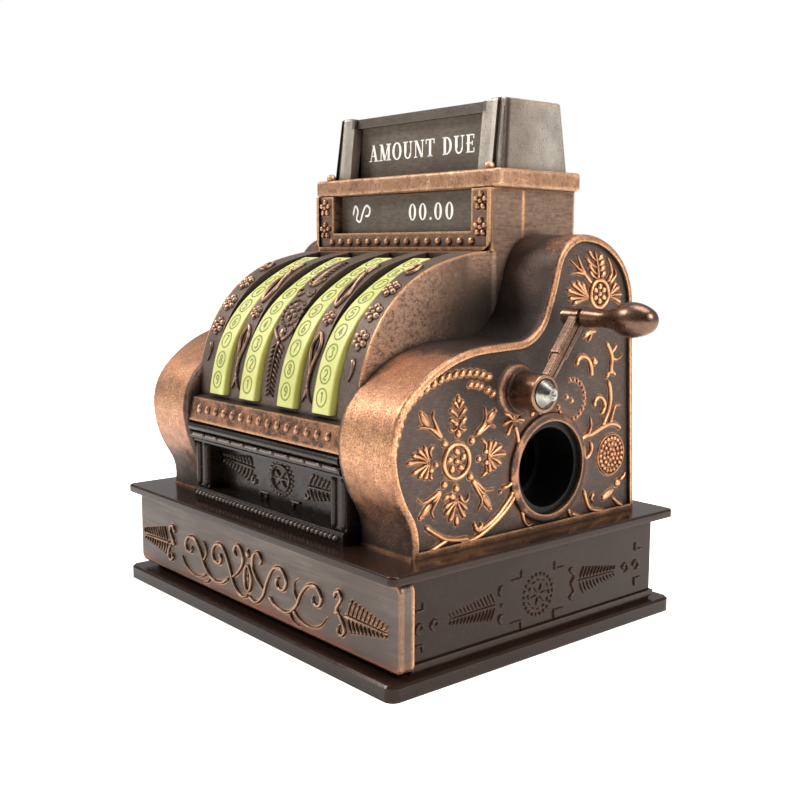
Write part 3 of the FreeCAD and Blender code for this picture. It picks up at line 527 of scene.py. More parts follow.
def housing_copper():
    """Antique copper die-casting: dark patina, rubbed bright on the lobes and edges, with painted shade and
    painted highlights mixed into its colour.
    """
    s = Shade("antique_copper")
    depth, wide = s.depth, s.wide
    cloud = s.noise(6.0, 4.0, 0.6)
    patch = s.noise(1.6, 4.0, 0.6)
    grain = s.noise(0.22, 3.0, 0.7)
    fine = s.noise(0.09, 2.0, 0.6)
    mottle = s.noise(0.42, 5.0, 0.8, stretch=(1, 1.5, 1))
    facing_side = s.fade(s.side_facing, 0.6, 0.95)
    on_panel = s.times(facing_side, wide=(25.0, 25.1, 25.28, 25.5))
    # The lobe fronts are rubbed bright copper; their fade to darker towards the bottom is painted light.
    on_lobe = s.times(s.less(facing_side), wide=(16.8, 17.4), depth=(9.5, 1.5), z=(0.0, 36.0))
    # painted highlight on the upward-facing tops of the lobes
    lobe_top_highlight = s.times(wide=(16.8, 17.4), depth=(16.0, 8.0), nz=(0.4, 0.85), z=(24.0, 27.0))
    port_reach = s.reach(depth, s.z, *PORT)
    on_lip = s.times(s.band(port_reach, 5.4, 5.55, 6.7, 6.9), wide=(25.1, 25.25))
    between = s.fade(wide, 17.6, 17.2)
    drum_wall = s.times(facing_side, between, wide=(15.5, 16.5), z=(46.6, 45.8), depth=(25.0, 12.0))
    slot_wall_shade = s.times(facing_side, wide=(16.0, 15.0), z=(26.0, 27.0), depth=(24.5, 22.0))
    on_bezel = s.times(depth=(25.0, 24.9), z=(45.6, 45.9))
    on_tower = s.times(between, s.less(on_bezel), depth=(20.5, 22.0), z=(40.0, 46.5))
    shade_back = s.times(depth=(9.0, 21.0, 25.0, 30.0), z=(44.5, 37.5), wide=(16.6, 17.0, 24.3, 25.2))
    inner_lobe_shade = s.times(facing_side, wide=(16.0, 16.4, 19.0, 20.0), z=(31.0, 27.0), depth=(14.0, 10.0))
    on_drum = s.times(s.less(facing_side), wide=(17.0, 16.6), z=(26.9, 27.1), depth=(23.5, 22.5))
    rim = s.times(s.fade(wide, 25.8, 25.6, 0.4, 1.0), wide=(25.3, 25.55))
    ledge = s.times(depth=(3.6, 3.4), wide=(16.6, 16.3))
    edge = s.fade(s.corner(True, 0.5), 0.08, 0.36)
    on_boss = s.times(*[s.band(value, middle - 3.4, middle - 3.1, middle + 3.1, middle + 3.4)
                        for value, middle in ((depth, CRANK[0]), (s.z, CRANK[1]))])
    edge = s.times(edge, s.less(s.times(on_drum, 0.75, wide=(16.6, 16.1))), s.less(s.times(on_boss, 0.6)))
    nook = s.fade(s.corner(False, 3.0), 0.12, 0.8)
    # painted highlight on the upward-facing crown of the dome
    dome_crown_highlight = s.times(wide=(20.0, 24.0), z=(42.0, 46.0), nz=(0.2, 0.8))
    shine = s.most(s.times(on_lobe, 0.84), s.times(edge, 0.95), s.times(lobe_top_highlight, 0.5), s.times(rim, 0.5),
                   s.times(ledge, s.fade(patch, 0.3, 0.7, 0.3, 0.46)), s.times(dome_crown_highlight, 0.3),
                   s.times(on_bezel, 0.5, depth=(24.6, 24.5)))
    shine = s.times(shine, s.less(s.times(on_lip, 0.45)))
    shine = s.times(shine, s.less(s.times(nook, 0.75)))
    calm = s.less(s.times(on_panel, 0.75))
    rubbed = s.plus(shine, s.sway(patch, 0.6, calm), s.sway(grain, 0.8, calm), s.sway(cloud, 0.35, calm))
    s.colour = s.mix(s.fade(cloud, 0.25, 0.75, 0.2, 1.0), PATINA_DARK, PATINA)
    s.coat((75, 63, 57), on_panel, 0.9)
    s.coat(DRUM_WALL, drum_wall, 0.9)
    streak = s.noise(0.24, 5.0, 0.7, stretch=(1, 7, 1))
    rear = s.fade(s.ny, 0.5, 0.9)
    s.coat(TOWER, on_tower, s.fade(streak, 0.35, 0.6, 0.5, 1.0), s.less(s.times(rear, 0.6)))
    s.coat((112, 90, 76), rear, 0.45)
    s.coat((110, 95, 85), on_drum, 0.85)
    s.coat((58, 46, 40), on_drum, s.fade(mottle, 0.5, 0.36), 0.45)
    s.coat((120, 96, 82), on_bezel, depth=(24.45, 24.6))
    scratch = s.noise(0.14, 3.0, 0.7, stretch=(1, 7, 1))
    s.coat((118, 100, 90), on_panel, s.fade(scratch, 0.42, 0.7), 0.4)
    s.coat((50, 40, 36), on_panel, s.fade(grain, 0.5, 0.3), 0.5)
    # darker patina, and painted shade around the crank and under the dome
    dark_patina_and_shade = s.most(s.fade(s.reach(depth, s.z, 16.5, 31.5), 9.0, 3.0),
                   s.fade(s.reach(depth, s.z, 27.0, 35.5), 8.0, 3.0))
    s.coat((36, 28, 24), on_panel, dark_patina_and_shade, 0.6)
    near_port = s.times(s.fade(port_reach, 8.2, 5.9), 0.45)
    handled = s.most(near_port, s.times(0.7, z=(12.6, 10.8)))
    s.coat((158, 104, 74), on_panel, handled, s.fade(patch, 0.3, 0.65, 0.4, 1.0))
    pocks = s.pits(0.42, 0.1, 0.3)
    flat_wall = s.most(drum_wall, s.times(on_tower, facing_side, 0.8))
    s.coat(PATINA_DARK, drum_wall, pocks, 0.6)
    s.coat((62, 44, 36), flat_wall, s.fade(mottle, 0.52, 0.38), 0.75)
    s.coat((196, 154, 126), flat_wall, s.fade(mottle, 0.54, 0.68), 0.6)
    # painted shade on the inner faces of the lobes, beside the drum
    s.coat((26, 20, 17), inner_lobe_shade, 0.9)
    # painted shade on the tower just under the cornice
    shade_under_cornice = s.times(on_tower, z=(49.5, 53.5))
    s.coat((70, 54, 45), shade_under_cornice, 0.4)
    # painted shade on the walls of the slots beside the key strips
    s.coat((60, 49, 42), slot_wall_shade, 0.9)
    s.coat((32, 26, 21), shade_back, 0.8)
    s.coat(PATINA_DARK, s.fade(nook, 0.2, 1.0, 0.0, 0.85))
    crease = s.times(s.fade(s.corner(False, 0.8), 0.08, 0.5), 0.75)
    s.coat(PATINA_DARK, crease)
    rubbed = s.plus(rubbed, s.times(crease, -0.5), s.times(shade_back, -0.3), s.times(slot_wall_shade, -0.6),
                    s.times(inner_lobe_shade, -0.6))
    # rubbed holds the real wear, and also the painted highlights and painted shade mixed into it above
    s.coat(COPPER, s.fade(rubbed, 0.15, 0.55))
    s.coat(COPPER_BRIGHT, s.fade(rubbed, 0.5, 1.0))
    specks = s.times(s.fade(grain, 0.48, 0.34), s.fade(rubbed, 0.3, 0.6))
    s.coat(COPPER_DEEP, specks, 0.7)
    # dark specks in the copper, and painted glints
    specks_and_glints = s.noise(0.16, 2.0, 0.7)
    s.coat(COPPER_DEEP, s.fade(specks_and_glints, 0.46, 0.36), s.fade(rubbed, 0.3, 0.7), 0.55)
    # painted glints: bright specks on the rubbed copper
    s.coat((255, 212, 160), s.fade(specks_and_glints, 0.55, 0.66), s.fade(rubbed, 0.4, 0.8), 0.6)
    dull = s.fade(rubbed, 0.1, 0.8, 0.5, 0.36)
    rough = s.plus(dull, s.sway(grain, 0.25))
    holes = s.pits(0.7, 0.05, 0.18)
    s.coat(COPPER_DEEP, holes, 0.5)
    height = s.plus(s.times(grain, 0.6), s.times(fine, 0.3), s.times(patch, 0.8), s.times(holes, -0.9),
                    s.times(pocks, drum_wall, -0.8), s.times(mottle, flat_wall, 1.3),
                    s.times(scratch, on_panel, 0.5))
    return s.finish(rough, 0.75, s.bump(height, 0.055))


def bright_copper():
    """The cornice and other thin copper mouldings, rubbed almost clean."""
    s = Shade("antique_copper_cornice")
    patch = s.noise(1.3, 4.0, 0.65)
    cloud = s.noise(5.0, 3.0, 0.6)
    grain = s.noise(0.2, 3.0, 0.7)
    edge = s.fade(s.corner(True, 0.7), 0.05, 0.4)
    nook = s.fade(s.corner(False, 1.5), 0.15, 0.8)
    rubbed = s.plus(0.42, s.times(edge, 0.6), s.sway(patch, 1.2), s.sway(cloud, 0.6), s.times(nook, -0.8))
    s.colour = s.mix(s.fade(rubbed, 0.05, 0.45), PATINA, (170, 127, 97))
    s.coat((230, 186, 148), s.fade(rubbed, 0.45, 0.95))
    flecks = s.fade(s.noise(0.3, 4.0, 0.75), 0.5, 0.36)
    s.coat(COPPER_DEEP, flecks, 0.75)
    rough = s.plus(0.4, s.sway(grain, 0.25))
    height = s.plus(s.times(grain, 0.6), s.times(patch, 1.0), s.times(flecks, -0.5))
    return s.finish(rough, 0.8, s.bump(height, 0.05))


def drawer_copper():
    """Brushed grey-brown copper with bright edges."""
    s = Shade("antique_copper_drawer")
    brushed = s.noise(0.3, 4.0, 0.7, stretch=(22, 1, 1))
    cloud = s.noise(7.0, 3.0, 0.6, stretch=(2, 1, 0.6))
    grain = s.noise(0.2, 2.0, 0.6)
    edge = s.fade(s.corner(True, 0.7), 0.06, 0.4)
    low = s.fade(s.z, 4.6, 2.5)
    s.colour = s.mix(s.fade(cloud, 0.35, 0.7), (72, 62, 56), (98, 87, 79))
    s.coat((80, 68, 60), s.fade(brushed, 0.3, 0.7, 0.0, 0.6))
    warm = s.times(low, s.fade(cloud, 0.3, 0.6), 0.7)
    s.coat((122, 66, 48), warm)
    worn = s.plus(edge, s.sway(grain, 0.8))
    s.coat(COPPER, s.fade(worn, 0.25, 0.8))
    s.coat(COPPER_BRIGHT, s.fade(worn, 0.8, 1.2))
    rough = s.fade(brushed, 0.2, 0.8, 0.34, 0.5)
    height = s.plus(brushed, s.times(grain, 0.3))
    return s.finish(rough, 0.7, s.bump(height, 0.02))


def relief_copper(name, low, mid, top, brightness_start=0.25):
    """Raised ornament: dark at its foot and rubbed bright on its crown."""
    s = Shade(name)
    rise = s.attribute("rise")
    grain = s.noise(0.2, 3.0, 0.7)
    patch = s.noise(1.8, 3.0, 0.6)
    rubbed = s.plus(rise, s.sway(patch, 0.8), s.sway(grain, 0.4))
    s.colour = s.mix(s.fade(rubbed, 0.0, brightness_start + 0.2), low, mid)
    s.coat(top, s.fade(rubbed, brightness_start + 0.25, 1.05))
    rough = s.plus(0.33, s.sway(grain, 0.25))
    height = s.plus(s.times(grain, 0.6), s.times(patch, 0.5))
    return s.finish(rough, 0.75, s.bump(height, 0.04))


def moulded(name, low, high, rough_low, rough_high, edge_wear_and_highlight, above, bump_mm=0.02, **constants):
    """Moulded plastic with a faint skin, scuffs and slightly lighter corners, and painted shade in its inner
    corners; where the edge colour is pale, as on the gloss relief, the lighter corners are a painted
    highlight.
    """
    s = Shade(name)
    cloud = s.noise(8.0, 4.0, 0.6)
    skin = s.noise(0.35, 3.0, 0.6)
    scuff = s.noise(1.4, 5.0, 0.7)
    edge = s.fade(s.corner(True, 0.5), 0.06, 0.5)
    nook = s.fade(s.corner(False, 2.0), 0.25, 0.9)
    s.colour = s.mix(s.fade(cloud, 0.3, 0.7), low, high)
    s.coat(edge_wear_and_highlight, edge, 0.6)
    s.coat(edge_wear_and_highlight, s.fade(scuff, 0.62, 0.8), 0.4)
    # painted shade in the inner corners
    s.coat((14, 11, 10), nook, 0.6)
    s.coat(above, 0.5, nz=(0.8, 0.95))
    rough = s.fade(s.plus(scuff, s.times(cloud, 0.3)), 0.4, 0.95, rough_low, rough_high)
    specks = s.pits(0.6, 0.03, 0.1)
    height = s.plus(skin, s.times(specks, -0.6), s.times(cloud, 0.6))
    return s.finish(rough, 0.0, s.bump(height, bump_mm), **constants)


def gunmetal():
    """The sign housing: pitted olive-brown cast metal, paler on its corners, with painted shade beside each
    post and painted light on the posts' front faces.
    """
    s = Shade("gunmetal")
    cloud = s.noise(2.6, 4.0, 0.6)
    streak = s.noise(1.0, 4.0, 0.6, stretch=(1, 1, 3))
    grain = s.noise(0.25, 3.0, 0.7)
    edge = s.fade(s.corner(True, 0.9), 0.05, 0.4)
    nook = s.fade(s.corner(False, 1.6), 0.15, 0.8)
    s.colour = s.mix(s.fade(cloud, 0.3, 0.7), (148, 140, 129), (174, 165, 152))
    s.coat((186, 164, 140), s.fade(streak, 0.5, 0.8), 0.4)
    worn = s.plus(edge, s.sway(grain, 0.7))
    s.coat((204, 182, 154), s.fade(worn, 0.4, 1.0), 0.3)
    lean = s.times(s.plus(s.z, -TOPPER_FOOT_Z), TOPPER_LEAN)
    behind = s.math("SUBTRACT", s.plus(s.y, HALF_DEPTH - TOPPER_FRONT), lean)
    groove_shade = s.times(s.band(behind, -0.1, 0.25, 0.9, 1.5), wide=(15.9, 16.1))
    forward = s.times(s.fade(behind, 9.0, 2.0), side_facing=(0.6, 0.95))
    s.coat((104, 88, 75), forward, 0.6)
    # painted shade in the groove where each post meets the side
    s.coat((44, 34, 28), groove_shade, 0.9)
    bar = s.times(s.fade(behind, 3.0, 2.4), z=(62.4, 62.7), wide=(13.4, 13.1))
    s.coat((60, 52, 45), bar, 0.75)
    warm = s.times(s.fade(cloud, 0.3, 0.6), z=(62.6, 64.0), y=(4.0, 12.0))
    s.coat((196, 152, 122), warm, 0.35)
    # painted light on the front faces of the posts
    post = s.times(s.fade(behind, 0.8, 0.4), wide=(14.2, 14.6), ny=(-0.5, -0.8))
    s.coat((214, 202, 187), post, 0.45)
    s.coat((24, 20, 17), nook, 0.8)
    holes = s.pits(0.55, 0.06, 0.22)
    s.coat((70, 62, 54), holes, 0.45)
    height = s.plus(s.times(grain, 0.8), s.times(cloud, 0.4), s.times(holes, -1.0))
    rough = s.plus(0.36, s.sway(grain, 0.25))
    return s.finish(rough, 0.8, s.bump(height, 0.08))


def dark_bronze():
    """Crank and grip: dark bronze, satin, going golden where it is handled."""
    s = Shade("dark_bronze")
    cloud = s.noise(3.0, 4.0, 0.6)
    grain = s.noise(0.2, 3.0, 0.6)
    edge = s.fade(s.corner(True, 0.5), 0.05, 0.45)
    s.colour = s.mix(s.fade(cloud, 0.35, 0.7), (80, 60, 50), (122, 94, 76))
    worn = s.plus(s.times(edge, 0.7), s.sway(grain, 0.5))
    s.coat((190, 140, 106), s.fade(worn, 0.45, 1.1))
    rough = s.plus(0.28, s.sway(grain, 0.15), s.sway(cloud, 0.15))
    height = s.plus(s.times(grain, 0.5), cloud)
    return s.finish(rough, 0.9, s.bump(height, 0.02))


def steel():
    """Turned steel of the rivet, screws and pin."""
    s = Shade("steel")
    turned = s.noise(0.12, 3.0, 0.6, stretch=(1, 6, 6))
    cloud = s.noise(1.2, 3.0, 0.6)
    s.colour = s.mix(s.fade(cloud, 0.35, 0.7), (124, 121, 112), (178, 175, 164))
    s.coat((60, 48, 40), s.fade(s.corner(False, 0.8), 0.2, 0.9), 0.7)
    rough = s.fade(turned, 0.2, 0.8, 0.2, 0.36)
    return s.finish(rough, 1.0, s.bump(turned, 0.01))


def key_plastic():
    """Pale yellow-green key strips, with painted shade: deeper olive where they curve away sideways, and
    darker in their inner corners.
    """
    s = Shade("key_plastic")
    cloud = s.noise(4.0, 3.0, 0.5)
    fine = s.noise(0.4, 3.0, 0.6)
    shaded_shoulders = s.fade(s.side_facing, 0.05, 0.6)
    s.colour = s.mix(s.fade(cloud, 0.3, 0.7), (196, 197, 116), (212, 212, 138))
    s.coat((134, 126, 44), shaded_shoulders, 0.9)
    # painted shade in the strips' inner corners
    s.coat((96, 92, 40), s.fade(s.corner(False, 1.6), 0.3, 0.9))
    rough = s.fade(fine, 0.3, 0.7, 0.3, 0.42)
    return s.finish(rough, 0.0, s.bump(s.plus(fine, cloud), 0.02), Subsurface_Weight=0.25,
                    Subsurface_Scale=0.0012, IOR=1.47)


def flat_print(name, ink, patchy, rough, painted_glow=0.0):
    """Printing ink, slightly uneven; white ink is given a faint painted glow."""
    s = Shade(name)
    blot = s.noise(0.5, 4.0, 0.7)
    s.colour = s.mix(s.fade(blot, 0.35, 0.7), patchy, ink)
    s.put(s.surface.inputs["Emission Color"], ink)
    return s.finish(rough, 0.0, s.bump(blot, 0.008), Emission_Strength=painted_glow)


def card():
    """Printed card: dark olive-brown with fibres."""
    s = Shade("card")
    fibre = s.noise(0.35, 5.0, 0.75, stretch=(3, 1, 1))
    cloud = s.noise(4.0, 3.0, 0.6)
    s.colour = s.mix(s.fade(fibre, 0.35, 0.7), (84, 73, 62), (114, 100, 85))
    s.coat((74, 60, 46), s.fade(cloud, 0.4, 0.8), 0.5)
    rough = s.fade(fibre, 0.2, 0.8, 0.55, 0.75)
    return s.finish(rough, 0.0, s.bump(fibre, 0.015))


def floor_material():
    s = Shade("floor_paper")
    soft = s.noise(30.0, 2.0, 0.5)
    s.colour = s.mix(soft, (246, 246, 244), (252, 252, 250))
    s.surface.inputs["Emission Color"].default_value = (1.0, 1.0, 1.0, 1.0)
    return s.finish(0.85, 0.0, Emission_Strength=0.64)


HOUSING = housing_copper()
CORNICE = bright_copper()
DRAWER = drawer_copper()
RELIEF = relief_copper("antique_copper_relief", PATINA_DARK, COPPER, COPPER_BRIGHT)
RELIEF_DULL = relief_copper("antique_copper_drum_relief", PATINA_DARK, (116, 92, 78), (204, 158, 128), 0.45)
RELIEF_MID = relief_copper("antique_copper_bezel_relief", PATINA_DARK, (138, 101, 79), (208, 158, 124), 0.4)
RELIEF_DRAWER = relief_copper("antique_copper_drawer_relief", (52, 42, 37), (100, 82, 70), (168, 134, 110),
                              0.45)
BROWN = moulded("brown_plastic", (26, 16, 12), (36, 24, 18), 0.12, 0.22, (64, 46, 37), (50, 34, 26), 0.012,
                Specular_IOR_Level=0.24, Specular_Tint=(1.0, 0.82, 0.72, 1.0))
GLOSS = moulded("black_gloss", (20, 14, 11), (30, 22, 18), 0.16, 0.34, (56, 44, 36), (30, 22, 18),
                Specular_IOR_Level=0.3, Specular_Tint=(1.0, 0.84, 0.76, 1.0))
# its pale edge colour is a painted highlight on the panel's ridges and beads
GLOSS_RELIEF = moulded("black_gloss_relief", (26, 19, 15), (38, 29, 24), 0.1, 0.22, (124, 106, 94),
                       (60, 48, 41), Specular_IOR_Level=0.9, Specular_Tint=(1.0, 0.88, 0.8, 1.0))
BLACK = moulded("black_plastic", (5, 4, 4), (8, 7, 6), 0.35, 0.5, (14, 12, 11), (8, 7, 6),
                Specular_IOR_Level=0.2)
GUNMETAL = gunmetal()
BRONZE = dark_bronze()
STEEL = steel()
KEYS = key_plastic()
KEY_INK = flat_print("key_plastic_ink", (116, 114, 50), (146, 142, 72), 0.5)
CARD = card()
# the white print gets a faint painted glow
PRINT = flat_print("card_print", (255, 253, 246), (244, 240, 228), 0.6, 0.12)

FINISHES = {
    "housing_shell": HOUSING, "rear_cover": HOUSING, "tower_cornice": CORNICE,
    "drawer_front": DRAWER, "front_panel": GLOSS, "key_strip_insert": KEYS,
    "sign_topper": GUNMETAL, "sign_card": CARD, "amount_card": CARD,
    "bottom_plate": BROWN, "base_box": BROWN, "drawer_tray": BROWN,
    "sharpener_sleeve": BLACK, "sharpener_body": BLACK,
    "crank_arm": BRONZE, "grip_handle": BRONZE,
}
for name, obj in nodes.items():
    obj.data.materials.clear()
    obj.data.materials.append(FINISHES.get(name, STEEL))


# ---- cheek ornament

def cheek_front(r):
    """The flower of palmettes and sprigs on the lobe."""
    rose = (11.9, 23.2)
    r.ring(rose, 1.88, 0.5)
    r.bead(rose, 0.36)
    for angle in (90, 20, -50, -130, 165):
        r.bead(around(rose, 1.05, angle), 0.5, 0.36, angle + 35)

    r.bead((12.1, 26.2), 0.36, 0.52)
    r.beads(((11.75, 27.33), (12.75, 27.47)), 0.33)
    r.bead((12.1, 29.95), 0.28, 0.48)
    r.leaves((12.1, 26.95), (((10.8, 26.85), (11.3, 26.6)), ((13.35, 26.7), (12.8, 26.55))), 0.42)
    for side in (-1, 1):
        for across, height in ((1.3, 27.8), (1.3, 28.8), (0.8, 29.7)):
            r.stroke(((12.1 + side * across, height), (12.1 + side * across * 0.6, height - 0.15),
                      (12.1, height - 0.9)), 0.55, comma)

    r.bead((11.87, 20.17), 0.42)
    r.leaves((11.9, 18.9), (((10.0, 19.2), (10.8, 19.5)), ((10.1, 18.2), (10.9, 18.6)),
                            ((10.2, 17.4), (11.0, 18.1)), ((10.9, 16.6), (11.4, 17.6)),
                            ((13.25, 16.7), (12.6, 17.6)), ((13.5, 17.5), (12.9, 18.2))), 0.6)
    r.bead((12.0, 16.5), 0.3, 0.62)
    r.stroke(((12.4, 19.4), (12.9, 18.6), (13.6, 18.7), (13.8, 19.6)), 0.45, comma)
    r.bead((11.3, 19.35), 0.42)

    r.beads(((8.9, 23.17), (8.2, 22.65)), 0.33)
    r.leaves((7.9, 23.5), (((4.8, 23.75), (6.2, 23.8)), ((5.5, 24.6), (6.7, 24.2)),
                           ((6.3, 25.1), (7.0, 24.5)), ((7.2, 25.45), (7.5, 24.6)),
                           ((5.5, 22.55), (6.6, 23.0)), ((6.4, 22.0), (7.1, 22.7)),
                           ((7.3, 21.75), (7.6, 22.5))), 0.58)
    r.stroke(((8.6, 25.3), (8.0, 24.8), (8.3, 23.9)), 0.45, comma)
    r.stroke(((8.3, 21.6), (8.1, 22.0), (8.2, 22.5)), 0.4, comma)

    r.beads(((15.25, 23.03), (16.3, 23.75), (16.4, 22.5)), 0.35)
    r.leaves((16.7, 23.1), (((17.1, 24.9), (16.9, 24.2)), ((18.0, 24.8), (17.4, 24.1)),
                            ((18.9, 24.2), (17.9, 23.7)), ((19.5, 23.1), (18.2, 23.2)),
                            ((18.8, 22.0), (17.8, 22.7)), ((17.9, 21.5), (17.3, 22.3)),
                            ((17.0, 21.2), (16.9, 22.1))), 0.6)
    r.stroke(((15.7, 25.1), (16.3, 24.6), (16.3, 23.9)), 0.42, comma)
    r.stroke(((15.7, 21.0), (16.4, 21.5), (16.3, 22.3)), 0.42, comma)


SPRIGS = (
    # bead, root, outer stems, loop
    ((10.13, 25.33), (9.67, 25.9), ((8.5, 27.0), (7.0, 27.4), (6.3, 27.35)),
     ((9.2, 26.7), (8.7, 27.7), (8.33, 28.5), (8.6, 29.1)), (7.9, 27.3), (6.75, 28.9)),
    ((14.2, 25.2), (14.8, 25.8), ((15.8, 26.2), (17.0, 26.7), (17.9, 26.3)),
     ((15.8, 26.7), (16.25, 27.7), (16.1, 28.8)), (16.4, 27.0), (17.8, 28.2)),
    ((10.13, 20.83), (9.6, 20.3), ((8.3, 19.6), (7.0, 19.3), (6.3, 19.8)),
     ((8.9, 19.1), (8.3, 18.1), (8.7, 17.2)), (8.4, 19.1), (6.7, 17.7)),
    ((14.0, 21.2), (14.3, 20.7), ((15.2, 20.2), (16.2, 19.4), (17.8, 19.3)),
     ((15.0, 19.6), (15.8, 18.3), (15.2, 17.2)), (16.0, 18.9), (17.2, 17.1)),
)


def cheek_sprigs(r):
    """A forked stem with a bud between its two leaves, on each diagonal."""
    for bead, root, low, high, bud, tip in SPRIGS:
        r.bead(bead, 0.42)
        r.stroke((root, *low), 0.5, comma)
        r.stroke((root, *high), 0.5, comma)
        middle = ((bud[0] + tip[0]) / 2, (bud[1] + tip[1]) / 2)
        r.stroke((root, bud), 0.34)
        angle = math.degrees(math.atan2(tip[1] - bud[1], tip[0] - bud[0]))
        reach = math.dist(bud, tip) / 2
        r.bead(middle, reach, 0.42, angle, tall=0.3)
        r.bead(tip, 0.24)


ROPE = ((3.05, 25.0), (3.35, 26.2), (3.8, 27.5), (4.4, 29.1), (5.2, 29.95), (6.0, 30.65),
        (6.9, 31.2), (7.9, 31.65), (9.1, 32.15), (10.5, 32.55), (12.0, 32.7), (14.0, 32.7),
        (15.3, 32.5), (16.4, 32.2), (17.2, 31.7))
ROPE_PITCH = 1.02
INNER_ROPE = ((13.9, 31.4), (14.8, 31.3), (15.5, 31.1), (16.6, 30.6), (17.4, 30.1))


def spaced(points, pitch):
    """Places a pitch apart along a smooth line, each with the line's direction there."""
    line = curve(points, 0.05)
    found = []
    since = pitch
    for a, b in zip(line, line[1:]):
        since += (b - a).length
        if since >= pitch:
            since = 0.0
            found.append((b, math.degrees(math.atan2(b.y - a.y, b.x - a.x))))
    return found


def cheek_rope(r):
    for spot, heading in spaced(ROPE, ROPE_PITCH):
        r.bead(spot, 0.56, 0.34, heading + 40, tall=0.36)
    for spot in INNER_ROPE:
        r.bead(spot, 0.5, 0.3, 25, tall=0.34)


def cheek_vines(r, with_port):
    """Vines round the pencil port and along the foot."""
    if with_port:
        r.stroke(((19.0, 19.2), (20.4, 19.6), (21.2, 21.0), (21.6, 23.0), (21.4, 24.7), (20.9, 26.2)), 0.45)
        r.stroke(((18.9, 19.0), (18.5, 18.6)), 0.5)
    r.fan((20.7, 26.7), ((19.2, 27.8), (19.1, 26.5), (20.7, 28.1), (19.6, 25.1), (22.5, 26.6), (22.2, 27.9)),
          0.62, (0.0, 0.2))
    r.stroke(((23.6, 26.9), (24.0, 27.8), (24.6, 27.4), (25.4, 26.9)), 0.6, comma)
    r.spiral((15.4, 15.7), 0.75, 160, 0.6, 0.42, 0.4)
    r.stroke(((14.7, 15.6), (15.2, 14.95), (16.7, 15.3), (18.3, 16.2), (20.0, 17.7), (20.8, 18.7)), 0.5)
    r.stroke(((12.4, 13.9), (14.3, 14.0), (16.2, 14.6), (18.3, 15.7), (20.3, 17.2), (21.4, 18.7)), 0.55)
    r.stroke(((7.4, 16.6), (8.7, 15.7), (10.3, 14.8), (12.0, 14.4), (13.9, 14.25)), 0.55)
    r.stroke(((7.9, 13.75), (9.2, 14.2), (10.7, 14.7)), 0.5)
    r.stroke(((22.3, 16.3), (22.6, 15.0), (23.3, 14.2), (24.3, 14.4)), 0.6, comma)
    r.stroke(((30.4, 15.1), (30.7, 14.3), (31.3, 14.0)), 0.6, comma)
    r.stroke(((31.0, 14.4), (32.2, 13.95), (33.3, 13.8)), 0.42)
    r.stroke(((33.2, 17.0), (33.6, 15.7), (34.3, 14.6), (35.7, 14.1), (37.5, 13.8)), 0.5)
    r.stroke(((35.2, 16.4), (34.6, 15.8), (35.1, 15.0)), 0.45, comma)
    r.stroke(((36.6, 15.3), (37.6, 15.7), (38.9, 16.4)), 0.95, leaf)
    r.stroke(((38.7, 15.3), (39.6, 14.5), (40.8, 13.9)), 0.5)
    r.bead((39.6, 17.0), 0.55)
    r.stroke(((39.9, 17.3), (40.6, 17.7), (41.1, 18.3)), 0.3)


def cheek_back(r):
    """The ring, scrolls, medallion and stems behind the port."""
    heart = (30.6, 28.3)
    r.bead_ring(heart, 2.4, 22, 0.24, skip=((105, 190),))
    r.beads(((29.7, 28.7), (30.6, 28.2)), 0.3)
    r.stroke(((34.8, 27.0), (34.8, 27.8), (35.6, 28.25), (36.4, 27.8), (36.7, 27.0), (36.0, 26.0)), 0.48)
    r.stroke(((36.4, 24.6), (37.3, 26.2), (37.75, 27.7), (37.6, 29.2), (37.2, 30.1)), 0.5)
    r.stroke(((37.8, 24.7), (38.2, 25.8), (38.8, 26.9), (39.9, 26.8)), 0.45, comma)
    r.stroke(((32.3, 23.3), (33.3, 23.7), (34.5, 23.8), (36.3, 24.4), (37.8, 24.7), (39.2, 24.4),
              (39.9, 23.8)), 0.5)
    r.stroke(((33.6, 23.7), (34.2, 24.8), (34.0, 26.0)), 0.45, comma)
    r.stroke(((34.1, 22.9), (34.4, 22.2), (34.0, 21.3), (33.25, 21.0), (32.6, 22.6)), 0.42)
    disc = (38.17, 20.83)
    r.ring(disc, 2.5, 0.22, tall=0.2)
    for radius, count, size in ((2.05, 20, 0.3), (1.35, 13, 0.29), (0.68, 7, 0.28)):
        r.bead_ring(disc, radius, count, size)
    r.bead(disc, 0.26, tall=0.42)
    r.stroke(((31.3, 32.3), (31.5, 33.0), (32.3, 33.4), (33.3, 33.0), (33.9, 32.1), (34.1, 30.8)), 0.5)
    r.bead((34.6, 32.6), 0.45)
    r.stroke(((36.7, 34.8), (37.3, 34.0), (37.8, 33.0), (37.7, 31.8), (37.8, 30.8)), 0.5)
    r.leaves((37.8, 31.4), (((36.8, 30.5), (37.3, 31.0)), ((38.6, 30.7), (38.2, 31.0))), 0.6)
    r.stroke(((37.9, 32.7), (39.0, 32.7), (40.1, 33.2)), 0.45, comma)
    r.stroke(((37.6, 33.5), (38.2, 33.9), (38.8, 34.6)), 0.45, comma)


